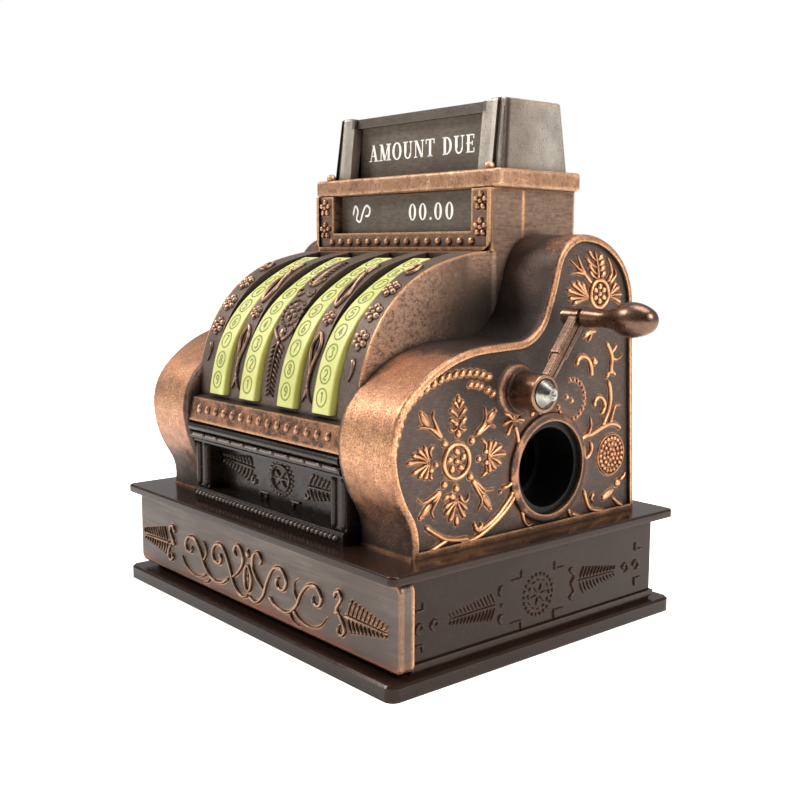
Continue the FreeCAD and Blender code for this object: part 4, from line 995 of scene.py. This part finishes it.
def cheek_dome(r):
    """The flower under the dome, with feather and fronds."""
    bloom = (35.13, 40.75)
    r.ring(bloom, 1.62, 0.5)
    r.flower(bloom, 0.88, 6, 0.4, 0.36)
    r.stroke(((34.8, 42.4), (34.6, 44.2), (34.0, 45.9)), 0.42, comma)
    for low, tip in (((34.7, 43.0), (33.0, 44.3)), ((34.65, 43.8), (32.5, 45.0)),
                     ((34.5, 44.6), (32.9, 45.9)), ((34.75, 42.5), (33.2, 43.5))):
        r.fan(low, (tip,), 0.5, (-0.1, -0.15))
    for spot in ((35.1, 45.1), (35.4, 44.45), (35.55, 43.8), (35.75, 43.1)):
        r.bead(spot, 0.62, 0.34, 40)
    r.stroke(((36.5, 42.1), (37.2, 43.1), (37.0, 44.2), (36.4, 45.1)), 0.55, comma)
    r.stroke(((36.9, 41.9), (38.0, 42.9), (37.9, 43.7)), 0.5, comma)
    r.stroke(((33.6, 42.0), (32.3, 43.1), (30.5, 44.2), (29.6, 44.8)), 0.55, comma)
    r.stroke(((32.4, 43.0), (31.5, 44.3), (30.9, 45.4)), 0.5, comma)
    r.stroke(((32.2, 43.1), (31.0, 43.3), (29.8, 43.2)), 0.5, comma)
    r.fan((33.2, 40.3), ((29.3, 41.3), (30.0, 42.1), (31.0, 42.3), (31.9, 42.1), (29.6, 40.3), (30.4, 39.7)),
          0.58, (-0.15, 0.05))
    r.fan((36.9, 40.4), ((38.9, 41.6), (39.4, 40.6), (39.2, 39.6), (38.2, 42.1)), 0.55, (0.0, 0.1))
    r.stroke(((32.4, 35.6), (33.5, 36.2), (34.8, 36.3)), 0.6, leaf)
    r.stroke(((33.3, 35.1), (33.6, 35.6), (34.0, 36.2)), 0.4, comma)
    r.ring((27.4, 33.3), 0.78, 0.3, tall=0.16)


for side, name in ((1, "right"), (-1, "left")):
    cheek = Relief(on_side(side, CHEEK_PLANE), tall=0.38)
    cheek_front(cheek)
    cheek_sprigs(cheek)
    cheek_rope(cheek)
    cheek_vines(cheek, side > 0)
    cheek_back(cheek)
    cheek_dome(cheek)
    if side < 0:
        cheek.ring(PORT, 4.2, 0.6)
        cheek.bead_ring(PORT, 3.2, 24, 0.28)
        cheek.flower(PORT, 1.35, 8, 0.52, 0.5)
    cheek.build(f"cheek_relief_{name}", "root", "antique_copper", RELIEF)


# ---- drum, ledge and bezel

# up one side of a drop-shaped loop and down the other
THERE_AND_BACK = [(1, i / 10) for i in range(11)] + [(-1, i / 10) for i in range(9, 0, -1)]

drum = Relief(on_chain(DRUM_HEADING, DRUM_STOPS), tall=0.4)
drum.feather((0, 8.2), (0, 1.4), 11, (1.25, 0.8), (1.25, 0.8), 0.27, 0.5)
for side in (-1, 1):
    for points in (((0.3, 8.2), (1.2, 8.9), (1.75, 9.6), (1.5, 10.1)),
                   ((0.4, 15.2), (1.2, 14.6), (1.6, 15.2), (1.2, 15.8)),
                   ((0, 16.2), (0.9, 16.8), (1.4, 17.8))):
        drum.stroke(flipped(side, points), 0.5, comma)
drum.bead((0, 9.2), 0.45, 0.75)
drum.bead_ring((0, 12.1), 1.85, 18, 0.27)
drum.flower((0, 12.1), 0.92, 6, 0.36, 0.36)
drum.feather((0, 16.4), (0, 22.0), 9, (1.2, 0.8), (1.2, 0.8), 0.3, 0.5)
for side in (-1, 1):
    x = side * 7.74
    drum.loop([(x + 1.32 * math.sin(math.pi * t) * k * t, 4.6 + 5.1 * t) for k, t in THERE_AND_BACK], 0.36)
    drum.bead((x, 8.2), 0.17, 0.9)
    drum.stroke(((x, 4.7), (x, 2.9)), 0.34)
    for leg in (-1, 1):
        drum.stroke(((x, 3.1), (x + leg * 0.35, 2.2), (x + leg * 0.95, 1.3)), 0.42, comma)
    drum.flower((x, 11.6), 0.66, 6, 0.38, 0.3)
    drum.loop([(x + 1.2 * math.sin(math.pi * t) * k * (1.05 - t), 13.2 + 5.9 * t)
               for k, t in THERE_AND_BACK], 0.36)
    drum.bead((x, 14.9), 0.17, 0.95)
    drum.stroke(((x, 19.1), (x, 21.6)), 0.34)
    x = side * 15.15
    drum.stroke(((x - 0.15, 7.1), (x + 0.2, 6.2), (x + 0.1, 5.2), (x - 0.2, 4.4)), 0.55, comma)
    for s in (9.3, 12.8, 16.4):
        drum.flower((x, s), 0.82, 6, 0.47, 0.36)
    drum.ring((x, 20.4), 0.7, 0.34, squeeze=1.6)
drum.build("drum_relief", "root", "antique_copper", RELIEF_DULL)

BEAD_PITCH = 2.0
BEAD_COUNT = 15
LEDGE_BEAD_Z = 25.35
BEZEL_BEAD_Z = 47.0
bead_row = [(i - (BEAD_COUNT - 1) / 2) * BEAD_PITCH for i in range(BEAD_COUNT)]

ledge = Relief(on_ledge, tall=0.4)
for x in bead_row:
    ledge.bead((x, LEDGE_BEAD_Z), 0.42, 0.62, tall=0.42)
ledge.build("ledge_beads", "root", "antique_copper", RELIEF_MID)

bezel = Relief(on_front(BEZEL_PLANE), tall=0.4)
for x in bead_row:
    bezel.bead((x, BEZEL_BEAD_Z), 0.52, tall=0.45)
for side in (-1, 1):
    for z in (51.7, 48.6):
        bezel.flower((side * 15.55, z), 0.8, 5, 0.44, 0.36)
bezel.build("bezel_relief", "root", "antique_copper", RELIEF_MID)


# ---- key digits

DIGITS = {
    1: (((-0.2, 0.38), (0.04, 0.58), (0.04, -0.6)),),
    2: (((-0.3, 0.3), (0.0, 0.6), (0.3, 0.3), (0.1, -0.1), (-0.32, -0.56)),
        ((-0.32, -0.58), (0.34, -0.58))),
    3: (((-0.3, 0.48), (0.05, 0.6), (0.28, 0.3), (-0.02, 0.04)),
        ((-0.02, 0.04), (0.32, -0.26), (0.02, -0.6), (-0.32, -0.44))),
    4: (((0.12, -0.6), (0.12, 0.6)), ((0.12, 0.6), (-0.34, -0.2)), ((-0.34, -0.2), (0.34, -0.2))),
    5: (((0.28, 0.58), (-0.24, 0.58)),
        ((-0.24, 0.58), (-0.28, 0.08), (0.1, 0.16), (0.32, -0.22), (0.0, -0.6), (-0.32, -0.44))),
    6: (((0.24, 0.54), (-0.12, 0.36), (-0.3, -0.2), (0.0, -0.6), (0.3, -0.26), (0.0, 0.06), (-0.28, -0.2)),),
    7: (((-0.3, 0.58), (0.32, 0.58)), ((0.32, 0.58), (0.0, 0.0), (-0.1, -0.6))),
    8: (((0.0, 0.04), (0.26, 0.32), (0.0, 0.6), (-0.26, 0.32), (0.0, 0.04),
         (0.3, -0.28), (0.0, -0.6), (-0.3, -0.28), (0.0, 0.04)),),
    9: (((-0.24, -0.54), (0.12, -0.36), (0.3, 0.2), (0.0, 0.6), (-0.3, 0.26), (0.0, -0.06), (0.28, 0.2)),),
}
KEY_FIRST = 2.35
KEY_PITCH = 2.64
KEY_R = (0.92, 1.04)

keys = Relief(on_chain(STRIP_HEADING, STRIP_STOPS), tall=0.05, sink=0.1)
for column, x in enumerate(STRIP_CENTRES):
    for row in range(9):
        number = row + 1 if column % 2 else 9 - row
        s = KEY_FIRST + KEY_PITCH * row
        centre = (x - 0.1, s)
        keys.ring(centre, KEY_R[0], 0.2, squeeze=KEY_R[1] / KEY_R[0])
        for line in DIGITS[number]:
            keys.stroke([(centre[0] + u, s + v) for u, v in line], 0.22)
keys.build("key_digits", "root", "key_plastic", KEY_INK)


# ---- front panel ornament

panel = Relief(on_front(FIELD_DEPTH), tall=0.34)
panel.feather((-5.9, 18.3), (-13.1, 18.7), 9, (1.5, 0.6), (2.0, 0.7), 0.38, 0.5)
panel.feather((5.9, 18.0), (13.1, 18.1), 9, (1.7, 0.8), (1.7, 0.6), 0.38, 0.5)
for side in (-1, 1):
    panel.spiral((side * 5.7, 16.8), 0.6, 90, side * -0.9, 0.4, 0.3)
    panel.stroke(((side * 2.3, 15.65), (side * 4.2, 15.6),
                  (side * 4.2, 14.9) if side < 0 else (side * 2.9, 15.6)), 0.34)
    panel.stroke(((side * 3.0, 15.6), (side * 2.9, 14.75)), 0.34)
    panel.stroke(((side * 5.3, 20.1), (side * 4.5, 20.0)), 0.4, comma)
crest = (0.2, 18.0)
panel.bead_ring(crest, 2.45, 22, 0.22, squeeze=0.86)
panel.ring(crest, 1.95, 0.2, squeeze=0.86)
for angle in (50, 130, 230, 310, 0, 180):
    panel.stroke((crest, around(crest, 1.6, angle, 0.86)), 0.34, leaf)
panel.bead(crest, 0.4)
panel.build("panel_relief", "root", "black_gloss", GLOSS_RELIEF)

DASH_PITCH = 3.2
DASH_LENGTH = 2.9
DASH_START = 0.4
DASH_UP = 0.2
COVE = (3.35, 21.75)
COVE_R = 0.6
dashes = Relief(lambda x, s, up: model(x, COVE[0] - (COVE_R + up) * math.cos(s / COVE_R),
                                       COVE[1] + (COVE_R + up) * math.sin(s / COVE_R)), tall=0.26)
for i in range(-5, 5):
    x = i * DASH_PITCH + DASH_START
    dashes.stroke(((x, DASH_UP), (x + DASH_LENGTH, DASH_UP)), 0.42)
dashes.build("panel_dashes", "root", "black_gloss", GLOSS_RELIEF)

SILL_FACE = 3.2
SILL_PITCH = 0.84
SILL_BEADS = 37
SILL_Z = 14.0
sill = Relief(on_front(SILL_FACE), tall=0.34)
for i in range(SILL_BEADS):
    sill.bead(((i - (SILL_BEADS - 1) / 2) * SILL_PITCH, SILL_Z), 0.42, 0.36, 60, tall=0.48)
sill.build("panel_sill_beads", "root", "black_gloss", GLOSS_RELIEF)

POST_FACE = 3.8
POST_RIDGES = (-15.75, -14.0, 14.0, 15.75)
POST_SPAN = (14.9, 20.9)
posts = Relief(on_front(POST_FACE), tall=0.4)
for x in POST_RIDGES:
    posts.stroke([(x, z) for z in POST_SPAN], 0.75)
posts.build("panel_post_ridges", "root", "black_gloss", GLOSS)


# ---- drawer front ornament

def s_curl(r, x, side):
    """The scrolled end of a feather."""
    r.stroke(flipped(side, ((0.75, 8.0), (0.5, 8.8), (-0.2, 8.95), (-0.55, 8.3), (-0.1, 7.6), (0.3, 7.0),
                            (-0.1, 6.4)), x), 0.42)
    r.bead((x + side * 0.45, 6.55), 0.34)
    r.stroke(flipped(side, ((-0.1, 6.4), (-0.9, 5.6), (-1.1, 4.7), (-0.5, 4.1), (0.1, 4.5),
                            (-0.2, 5.2)), x), 0.42)


drawer = Relief(on_front(DRAWER_FACE), tall=0.36)
drawer.feather((19.0, 6.55), (26.3, 6.5), 10, (2.2, 0.8), (1.9, 0.5), 0.42, 0.32, first=0.1)
drawer.feather((-20.0, 6.45), (-27.2, 6.2), 10, (2.2, 0.9), (1.9, 0.6), 0.42, 0.32, first=0.1)
s_curl(drawer, 18.0, -1)
s_curl(drawer, -19.2, 1)

# the right half of a symmetric pen flourish: each stroke's width, shape and points
PEN_MIDDLE = -0.3
PEN_STROKES = (
    (0.45, even, (0.0, 3.9), (1.6, 3.5), (3.2, 4.6), (4.3, 6.8), (5.6, 8.6), (7.2, 8.9), (8.3, 7.8),
     (7.8, 6.6), (6.6, 6.5), (6.2, 7.3), (6.8, 7.8)),
    (0.45, even, (4.6, 5.0), (6.2, 4.1), (8.4, 4.0), (10.2, 5.2), (11.3, 7.0), (12.7, 8.3), (14.3, 8.4),
     (15.2, 7.4), (14.7, 6.4), (13.7, 6.5), (13.6, 7.3)),
    (0.44, comma, (9.6, 4.6), (11.2, 3.7), (13.2, 3.5), (15.0, 4.2), (16.3, 5.5)),
    (0.42, even, (3.6, 5.4), (2.2, 6.4), (1.1, 7.8), (1.3, 9.3), (2.4, 9.8), (3.1, 9.0), (2.6, 8.3)),
    (0.44, comma, (10.7, 5.9), (9.9, 6.9), (10.0, 8.0), (10.8, 8.6)),
    (0.4, comma, (8.9, 4.1), (9.7, 3.3), (10.9, 3.0)),
)
for side in (-1, 1):
    for width, shape, *points in PEN_STROKES:
        drawer.stroke(flipped(side, points, PEN_MIDDLE), width, shape)
drawer.loop([around((PEN_MIDDLE, 6.1), 0.75, 90 - 22.5 * i, 1.6 / 0.75) for i in range(16)], 0.42)
drawer.bead((PEN_MIDDLE, 9.2), 0.4, 0.62)
drawer.bead((PEN_MIDDLE, 6.1), 0.26, 0.6)
drawer.build("drawer_relief", "drawer", "antique_copper", RELIEF_DRAWER)


# ---- base side ornament

def corner_mark(r, x, z, across, down):
    """A small L."""
    r.stroke(((x, z), (x + across, z), (x + across, z + down)), 0.3, sharp=True)


def c_curl(r, x, z, flip=1):
    """A small C that opens to the left, or to the right where flip is -1."""
    r.stroke([(x + flip * across, z + up) for across, up in
              ((0.1, -0.55), (-0.45, -0.3), (-0.55, 0.2), (0.0, 0.6), (0.5, 0.2), (0.1, -0.1))], 0.32)


def base_side(r):
    corner_mark(r, 4.05, 8.5, 1.2, 0.8)
    corner_mark(r, 4.05, 4.7, 1.1, -0.9)
    c_curl(r, 4.8, 6.45)
    c_curl(r, 6.95, 6.45)
    r.feather((16.2, 6.7), (9.05, 6.6), 13, (1.5, 0.6), (1.7, 0.6), 0.3, 0.4, first=0.04)
    r.stroke(((17.3, 7.5), (16.7, 7.7), (16.7, 8.4), (17.2, 8.8)), 0.32)
    r.stroke(((17.3, 5.4), (16.7, 5.2), (16.7, 4.6), (17.2, 4.2)), 0.32)
    r.bead((17.1, 6.45), 0.26)
    for x, across in ((18.5, 1.7), (27.6, -1.8)):
        corner_mark(r, x, 9.0, across, 0.95)
        corner_mark(r, x, 4.0, across, -1.1)
    star = (23.1, 6.5)
    r.bead_ring(star, 2.4, 22, 0.23)
    for i in range(12):
        r.stroke((around(star, 1.75, 30 * i - 9), around(star, 1.75, 30 * i + 9)), 0.26)
    for i in range(6):
        r.stroke((around(star, 0.35, 60 * i + 10), around(star, 1.35, 60 * i + 10)), 0.32, comma)
    r.feather((30.1, 6.7), (36.9, 6.6), 11, (1.7, 0.7), (1.7, 0.6), 0.32, 0.45, first=0.04)
    r.stroke(((29.0, 8.6), (28.5, 8.3), (29.3, 7.5), (28.8, 6.6), (29.3, 5.6), (28.6, 5.0), (29.1, 4.5)),
             0.34)
    c_curl(r, 38.9, 6.6, -1)
    c_curl(r, 41.0, 6.6, -1)
    corner_mark(r, 42.2, 8.6, -1.3, 1.0)
    corner_mark(r, 42.2, 4.9, -1.3, -1.0)


for side, name in ((1, "right"), (-1, "left")):
    relief = Relief(on_side(side, BOX_SIDE), tall=0.26)
    base_side(relief)
    relief.build(f"base_relief_{name}", "root", "brown_plastic", BROWN)


# ---- printed lettering

STEM = 0.17
HAIR = 0.065
SERIF = 0.1
FOOT, HEAD = HAIR / 2, 1 - HAIR / 2     # heights of the serifs

# Each letter's width, then its strokes: slabs run from one (u, v) to another, bars lie at a height,
# serifs cross a stem's end, and bowls are parts of oval rings with their start, end and steps.
LETTERS = {
    "A": (0.84, ("slab", 0.14, 0, 0.4, 1, HAIR), ("slab", 0.64, 0, 0.38, 1, STEM), ("bar", 0.22, 0.58, 0.34),
          ("serif", 0.14, FOOT, HAIR), ("serif", 0.64, FOOT)),
    "M": (1.02, ("slab", 0.14, 0, 0.17, 1, HAIR), ("slab", 0.47, 0.02, 0.2, 1, STEM),
          ("slab", 0.47, 0.02, 0.76, 1, HAIR), ("slab", 0.8, 0, 0.8, 1, STEM), ("serif", 0.14, FOOT, HAIR),
          ("serif", 0.8, FOOT), ("serif", 0.16, HEAD, HAIR), ("serif", 0.8, HEAD)),
    "O": (0.86, ("bowl", 0.42, 0.5, 0.38, 0.52, 0, 360, 24)),
    "0": (0.7, ("bowl", 0.34, 0.5, 0.3, 0.52, 0, 360, 24)),
    "U": (0.82, ("slab", 0.2, 0.3, 0.2, 1, STEM), ("slab", 0.64, 0.3, 0.64, 1, HAIR),
          ("bowl", 0.395, 0.32, 0.28, 0.34, 180, 360, 10, 0.12, 0.09), ("serif", 0.2, HEAD),
          ("serif", 0.64, HEAD, HAIR)),
    "N": (0.86, ("slab", 0.16, 0, 0.16, 1, HAIR), ("slab", 0.66, 0, 0.2, 1, STEM),
          ("slab", 0.7, 0, 0.7, 1, HAIR), ("serif", 0.16, FOOT, HAIR), ("serif", 0.7, HEAD, HAIR),
          ("serif", 0.16, HEAD, HAIR)),
    "T": (0.78, ("slab", 0.38, 0, 0.38, 1, STEM), ("bar", 0.04, 0.72, HEAD),
          ("slab", 0.07, 0.72, 0.07, 1, HAIR), ("slab", 0.69, 0.72, 0.69, 1, HAIR), ("serif", 0.38, FOOT)),
    "D": (0.8, ("slab", 0.2, 0, 0.2, 1, STEM), ("bowl", 0.3, 0.5, 0.42, 0.5, -90, 90, 14),
          ("bar", 0.04, 0.32, FOOT), ("bar", 0.04, 0.32, HEAD)),
    "E": (0.7, ("slab", 0.2, 0, 0.2, 1, STEM), ("bar", 0.04, 0.6, FOOT), ("bar", 0.04, 0.48, 0.52),
          ("bar", 0.04, 0.58, HEAD), ("slab", 0.6, 0, 0.6, 0.26, HAIR), ("slab", 0.58, 0.76, 0.58, 1, HAIR),
          ("slab", 0.48, 0.4, 0.48, 0.64, HAIR)),
    ".": (0.24, ("bowl", 0.1, 0.08, 0.09, 0.09, 0, 360, 10, 0.088, 0.088)),
    " ": (0.42,),
}


class Print:
    """Flat letters with serifs, built from the table's strokes as thin closed plates."""

    def __init__(self, face, thick=0.03):
        self.face = face
        self.thick = thick
        self.form = bmesh.new()
        self.spot = None

    def plate(self, *corners):
        outline = [self.spot(u, v) for u, v in corners]
        low, high = ([self.form.verts.new(model(x, self.face + step, z) * MM) for x, z in outline]
                     for step in (0.02, -self.thick))
        for i in range(len(outline)):
            self.form.faces.new((low[i - 1], low[i], high[i], high[i - 1]))
        self.form.faces.new(low)
        self.form.faces.new(high)

    def slab(self, u0, v0, u1, v1, w):
        self.plate((u0 - w / 2, v0), (u0 + w / 2, v0), (u1 + w / 2, v1), (u1 - w / 2, v1))

    def bar(self, u0, u1, v):
        self.plate((u0, v - HAIR / 2), (u1, v - HAIR / 2), (u1, v + HAIR / 2), (u0, v + HAIR / 2))

    def serif(self, u, v, w=STEM):
        self.bar(u - w / 2 - SERIF, u + w / 2 + SERIF, v)

    def bowl(self, u, v, ru, rv, start, end, steps, thick=STEM, thin=HAIR):
        angles = [start + (end - start) * i / steps for i in range(steps + 1)]
        for a, b in zip(angles, angles[1:]):
            self.plate(*[(u + (ru - inset * thick) * direction(angle)[0],
                          v + (rv - inset * thin) * direction(angle)[1])
                         for angle, inset in ((a, 0), (b, 0), (b, 1), (a, 1))])

    def letter(self, name, x, z, tall, wide):
        """One letter, its left edge at x and its foot at z; gives the letter's width."""
        self.spot = lambda u, v: (x + u * tall * wide, z + v * tall)
        width, *strokes = LETTERS[name]
        for kind, *values in strokes:
            {"slab": self.slab, "bar": self.bar, "serif": self.serif, "bowl": self.bowl}[kind](*values)
        return width * tall * wide

    def build(self, name):
        mesh = bpy.data.meshes.new(name)
        bmesh.ops.recalc_face_normals(self.form, faces=self.form.faces)
        self.form.to_mesh(mesh)
        self.form.free()
        return piece(name, mesh, "root", PRINT)


SIGN_TEXT = "AMOUNT DUE"
SIGN_LETTER = (2.25, 1.12)      # height, and width against height
SIGN_GAP = 0.14
SIGN_START = -11.3
SIGN_FOOT = 58.05
AMOUNT_LETTER = (2.1, 1.15)
AMOUNT_FOOT = 49.75

sign = Print(SIGN_CARD_FACE)
x = SIGN_START
for letter in SIGN_TEXT:
    x += sign.letter(letter, x, SIGN_FOOT, *SIGN_LETTER) + SIGN_GAP
sign.build("sign_print")

amount = Print(AMOUNT_CARD_FACE)
for letter, x in (("0", 0.4), ("0", 2.4), (".", 4.5), ("0", 5.35), ("0", 7.45)):
    amount.letter(letter, x, AMOUNT_FOOT, *AMOUNT_LETTER)
amount.build("amount_print")

squiggle = Relief(on_front(AMOUNT_CARD_FACE), tall=0.03, sink=0.03)
squiggle.stroke(((-11.4, 50.6), (-10.9, 51.9), (-10.3, 51.2), (-10.6, 50.1), (-9.8, 49.8), (-9.2, 51.0),
                 (-8.5, 51.9), (-7.7, 51.5), (-7.9, 50.6), (-8.7, 50.5)), 0.32)
squiggle.build("amount_flourish", "root", "card", PRINT)


# ---- floor, light and camera

FLOOR_REACH = 4.0     # metres
floor_mesh = bpy.data.meshes.new("floor")
floor_corners = [(FLOOR_REACH * x, FLOOR_REACH * y, 0) for x, y in ((-1, -1), (1, -1), (1, 1), (-1, 1))]
floor_mesh.from_pydata(floor_corners, [], [(0, 1, 2, 3)])
floor = bpy.data.objects.new("floor", floor_mesh)
bpy.context.scene.collection.objects.link(floor)
floor.location.z = cad_box[0][2]
floor.data.materials.append(floor_material())

ROOM_LIGHT = 0.5
ROOM_DIM = 0.06
DIM_SIDE = (0.756, -0.641, 0.136)
DIM_EDGES = (0.25, 0.85)      # how near to DIM_SIDE the room starts to dim, and is at its dimmest
BACKDROP_LIGHT = 1.0
world = bpy.data.worlds.new("studio")
bpy.context.scene.world = world
world.use_nodes = True
sky = world.node_tree
background = sky.nodes["Background"]
background.inputs["Color"].default_value = (1.0, 1.0, 1.0, 1.0)
# the room is dim on the side the photographer stands
towards = add_node(sky, "VectorMath")
towards.operation = "DOT_PRODUCT"
towards.inputs[1].default_value = DIM_SIDE
put(sky, towards.inputs[0], add_node(sky, "TexCoord").outputs["Generated"])
room = add_node(sky, "MapRange", Value=towards.outputs["Value"], From_Min=DIM_EDGES[0], From_Max=DIM_EDGES[1],
                To_Min=ROOM_LIGHT, To_Max=ROOM_DIM)
room.interpolation_type = "SMOOTHSTEP"
level = add_node(sky, "MapRange", Value=add_node(sky, "LightPath").outputs["Is Camera Ray"],
                 To_Min=room.outputs["Result"], To_Max=BACKDROP_LIGHT)
put(sky, background.inputs["Strength"], level.outputs["Result"])


CENTRE = Vector((0.0, 0.0, 0.03))


def lamp(name, place, size, watts):
    """A round soft light at a place in metres, aimed at the object's middle."""
    light = bpy.data.lights.new(name, "AREA")
    light.shape = "DISK"
    light.size = size
    light.energy = watts
    obj = bpy.data.objects.new(name, light)
    bpy.context.scene.collection.objects.link(obj)
    obj.location = place
    obj.rotation_euler = (CENTRE - Vector(place)).to_track_quat("-Z", "Y").to_euler()


lamp("key_light", (-0.27, -0.24, 0.36), 0.18, 1.45)
lamp("side_light", (0.36, 0.06, 0.26), 0.22, 1.7)
lamp("top_light", (0.02, 0.06, 0.40), 0.25, 1.0)

CAMERA_PLACE = Vector((0.108823, -0.090188, 0.045597))
CAMERA_BACK = Vector((0.75568, -0.64072, 0.13576)).normalized()
CAMERA_RIGHT = Vector((0.64640, 0.76300, 0.00295)).normalized()
CAMERA_LENS = 48.486
SENSOR_WIDTH = 36.0

camera_data = bpy.data.cameras.new("photo_camera")
camera_data.lens = CAMERA_LENS
camera_data.sensor_width = SENSOR_WIDTH
camera_data.clip_start = 0.005
camera = bpy.data.objects.new("photo_camera", camera_data)
bpy.context.scene.collection.objects.link(camera)
up = CAMERA_BACK.cross(CAMERA_RIGHT)
turn = Matrix((CAMERA_RIGHT, up, CAMERA_BACK)).transposed()
camera.matrix_world = Matrix.Translation(CAMERA_PLACE) @ turn.to_4x4()
bpy.context.scene.camera = camera

bpy.context.scene.view_settings.view_transform = "Standard"
bpy.context.scene.view_settings.look = "None"
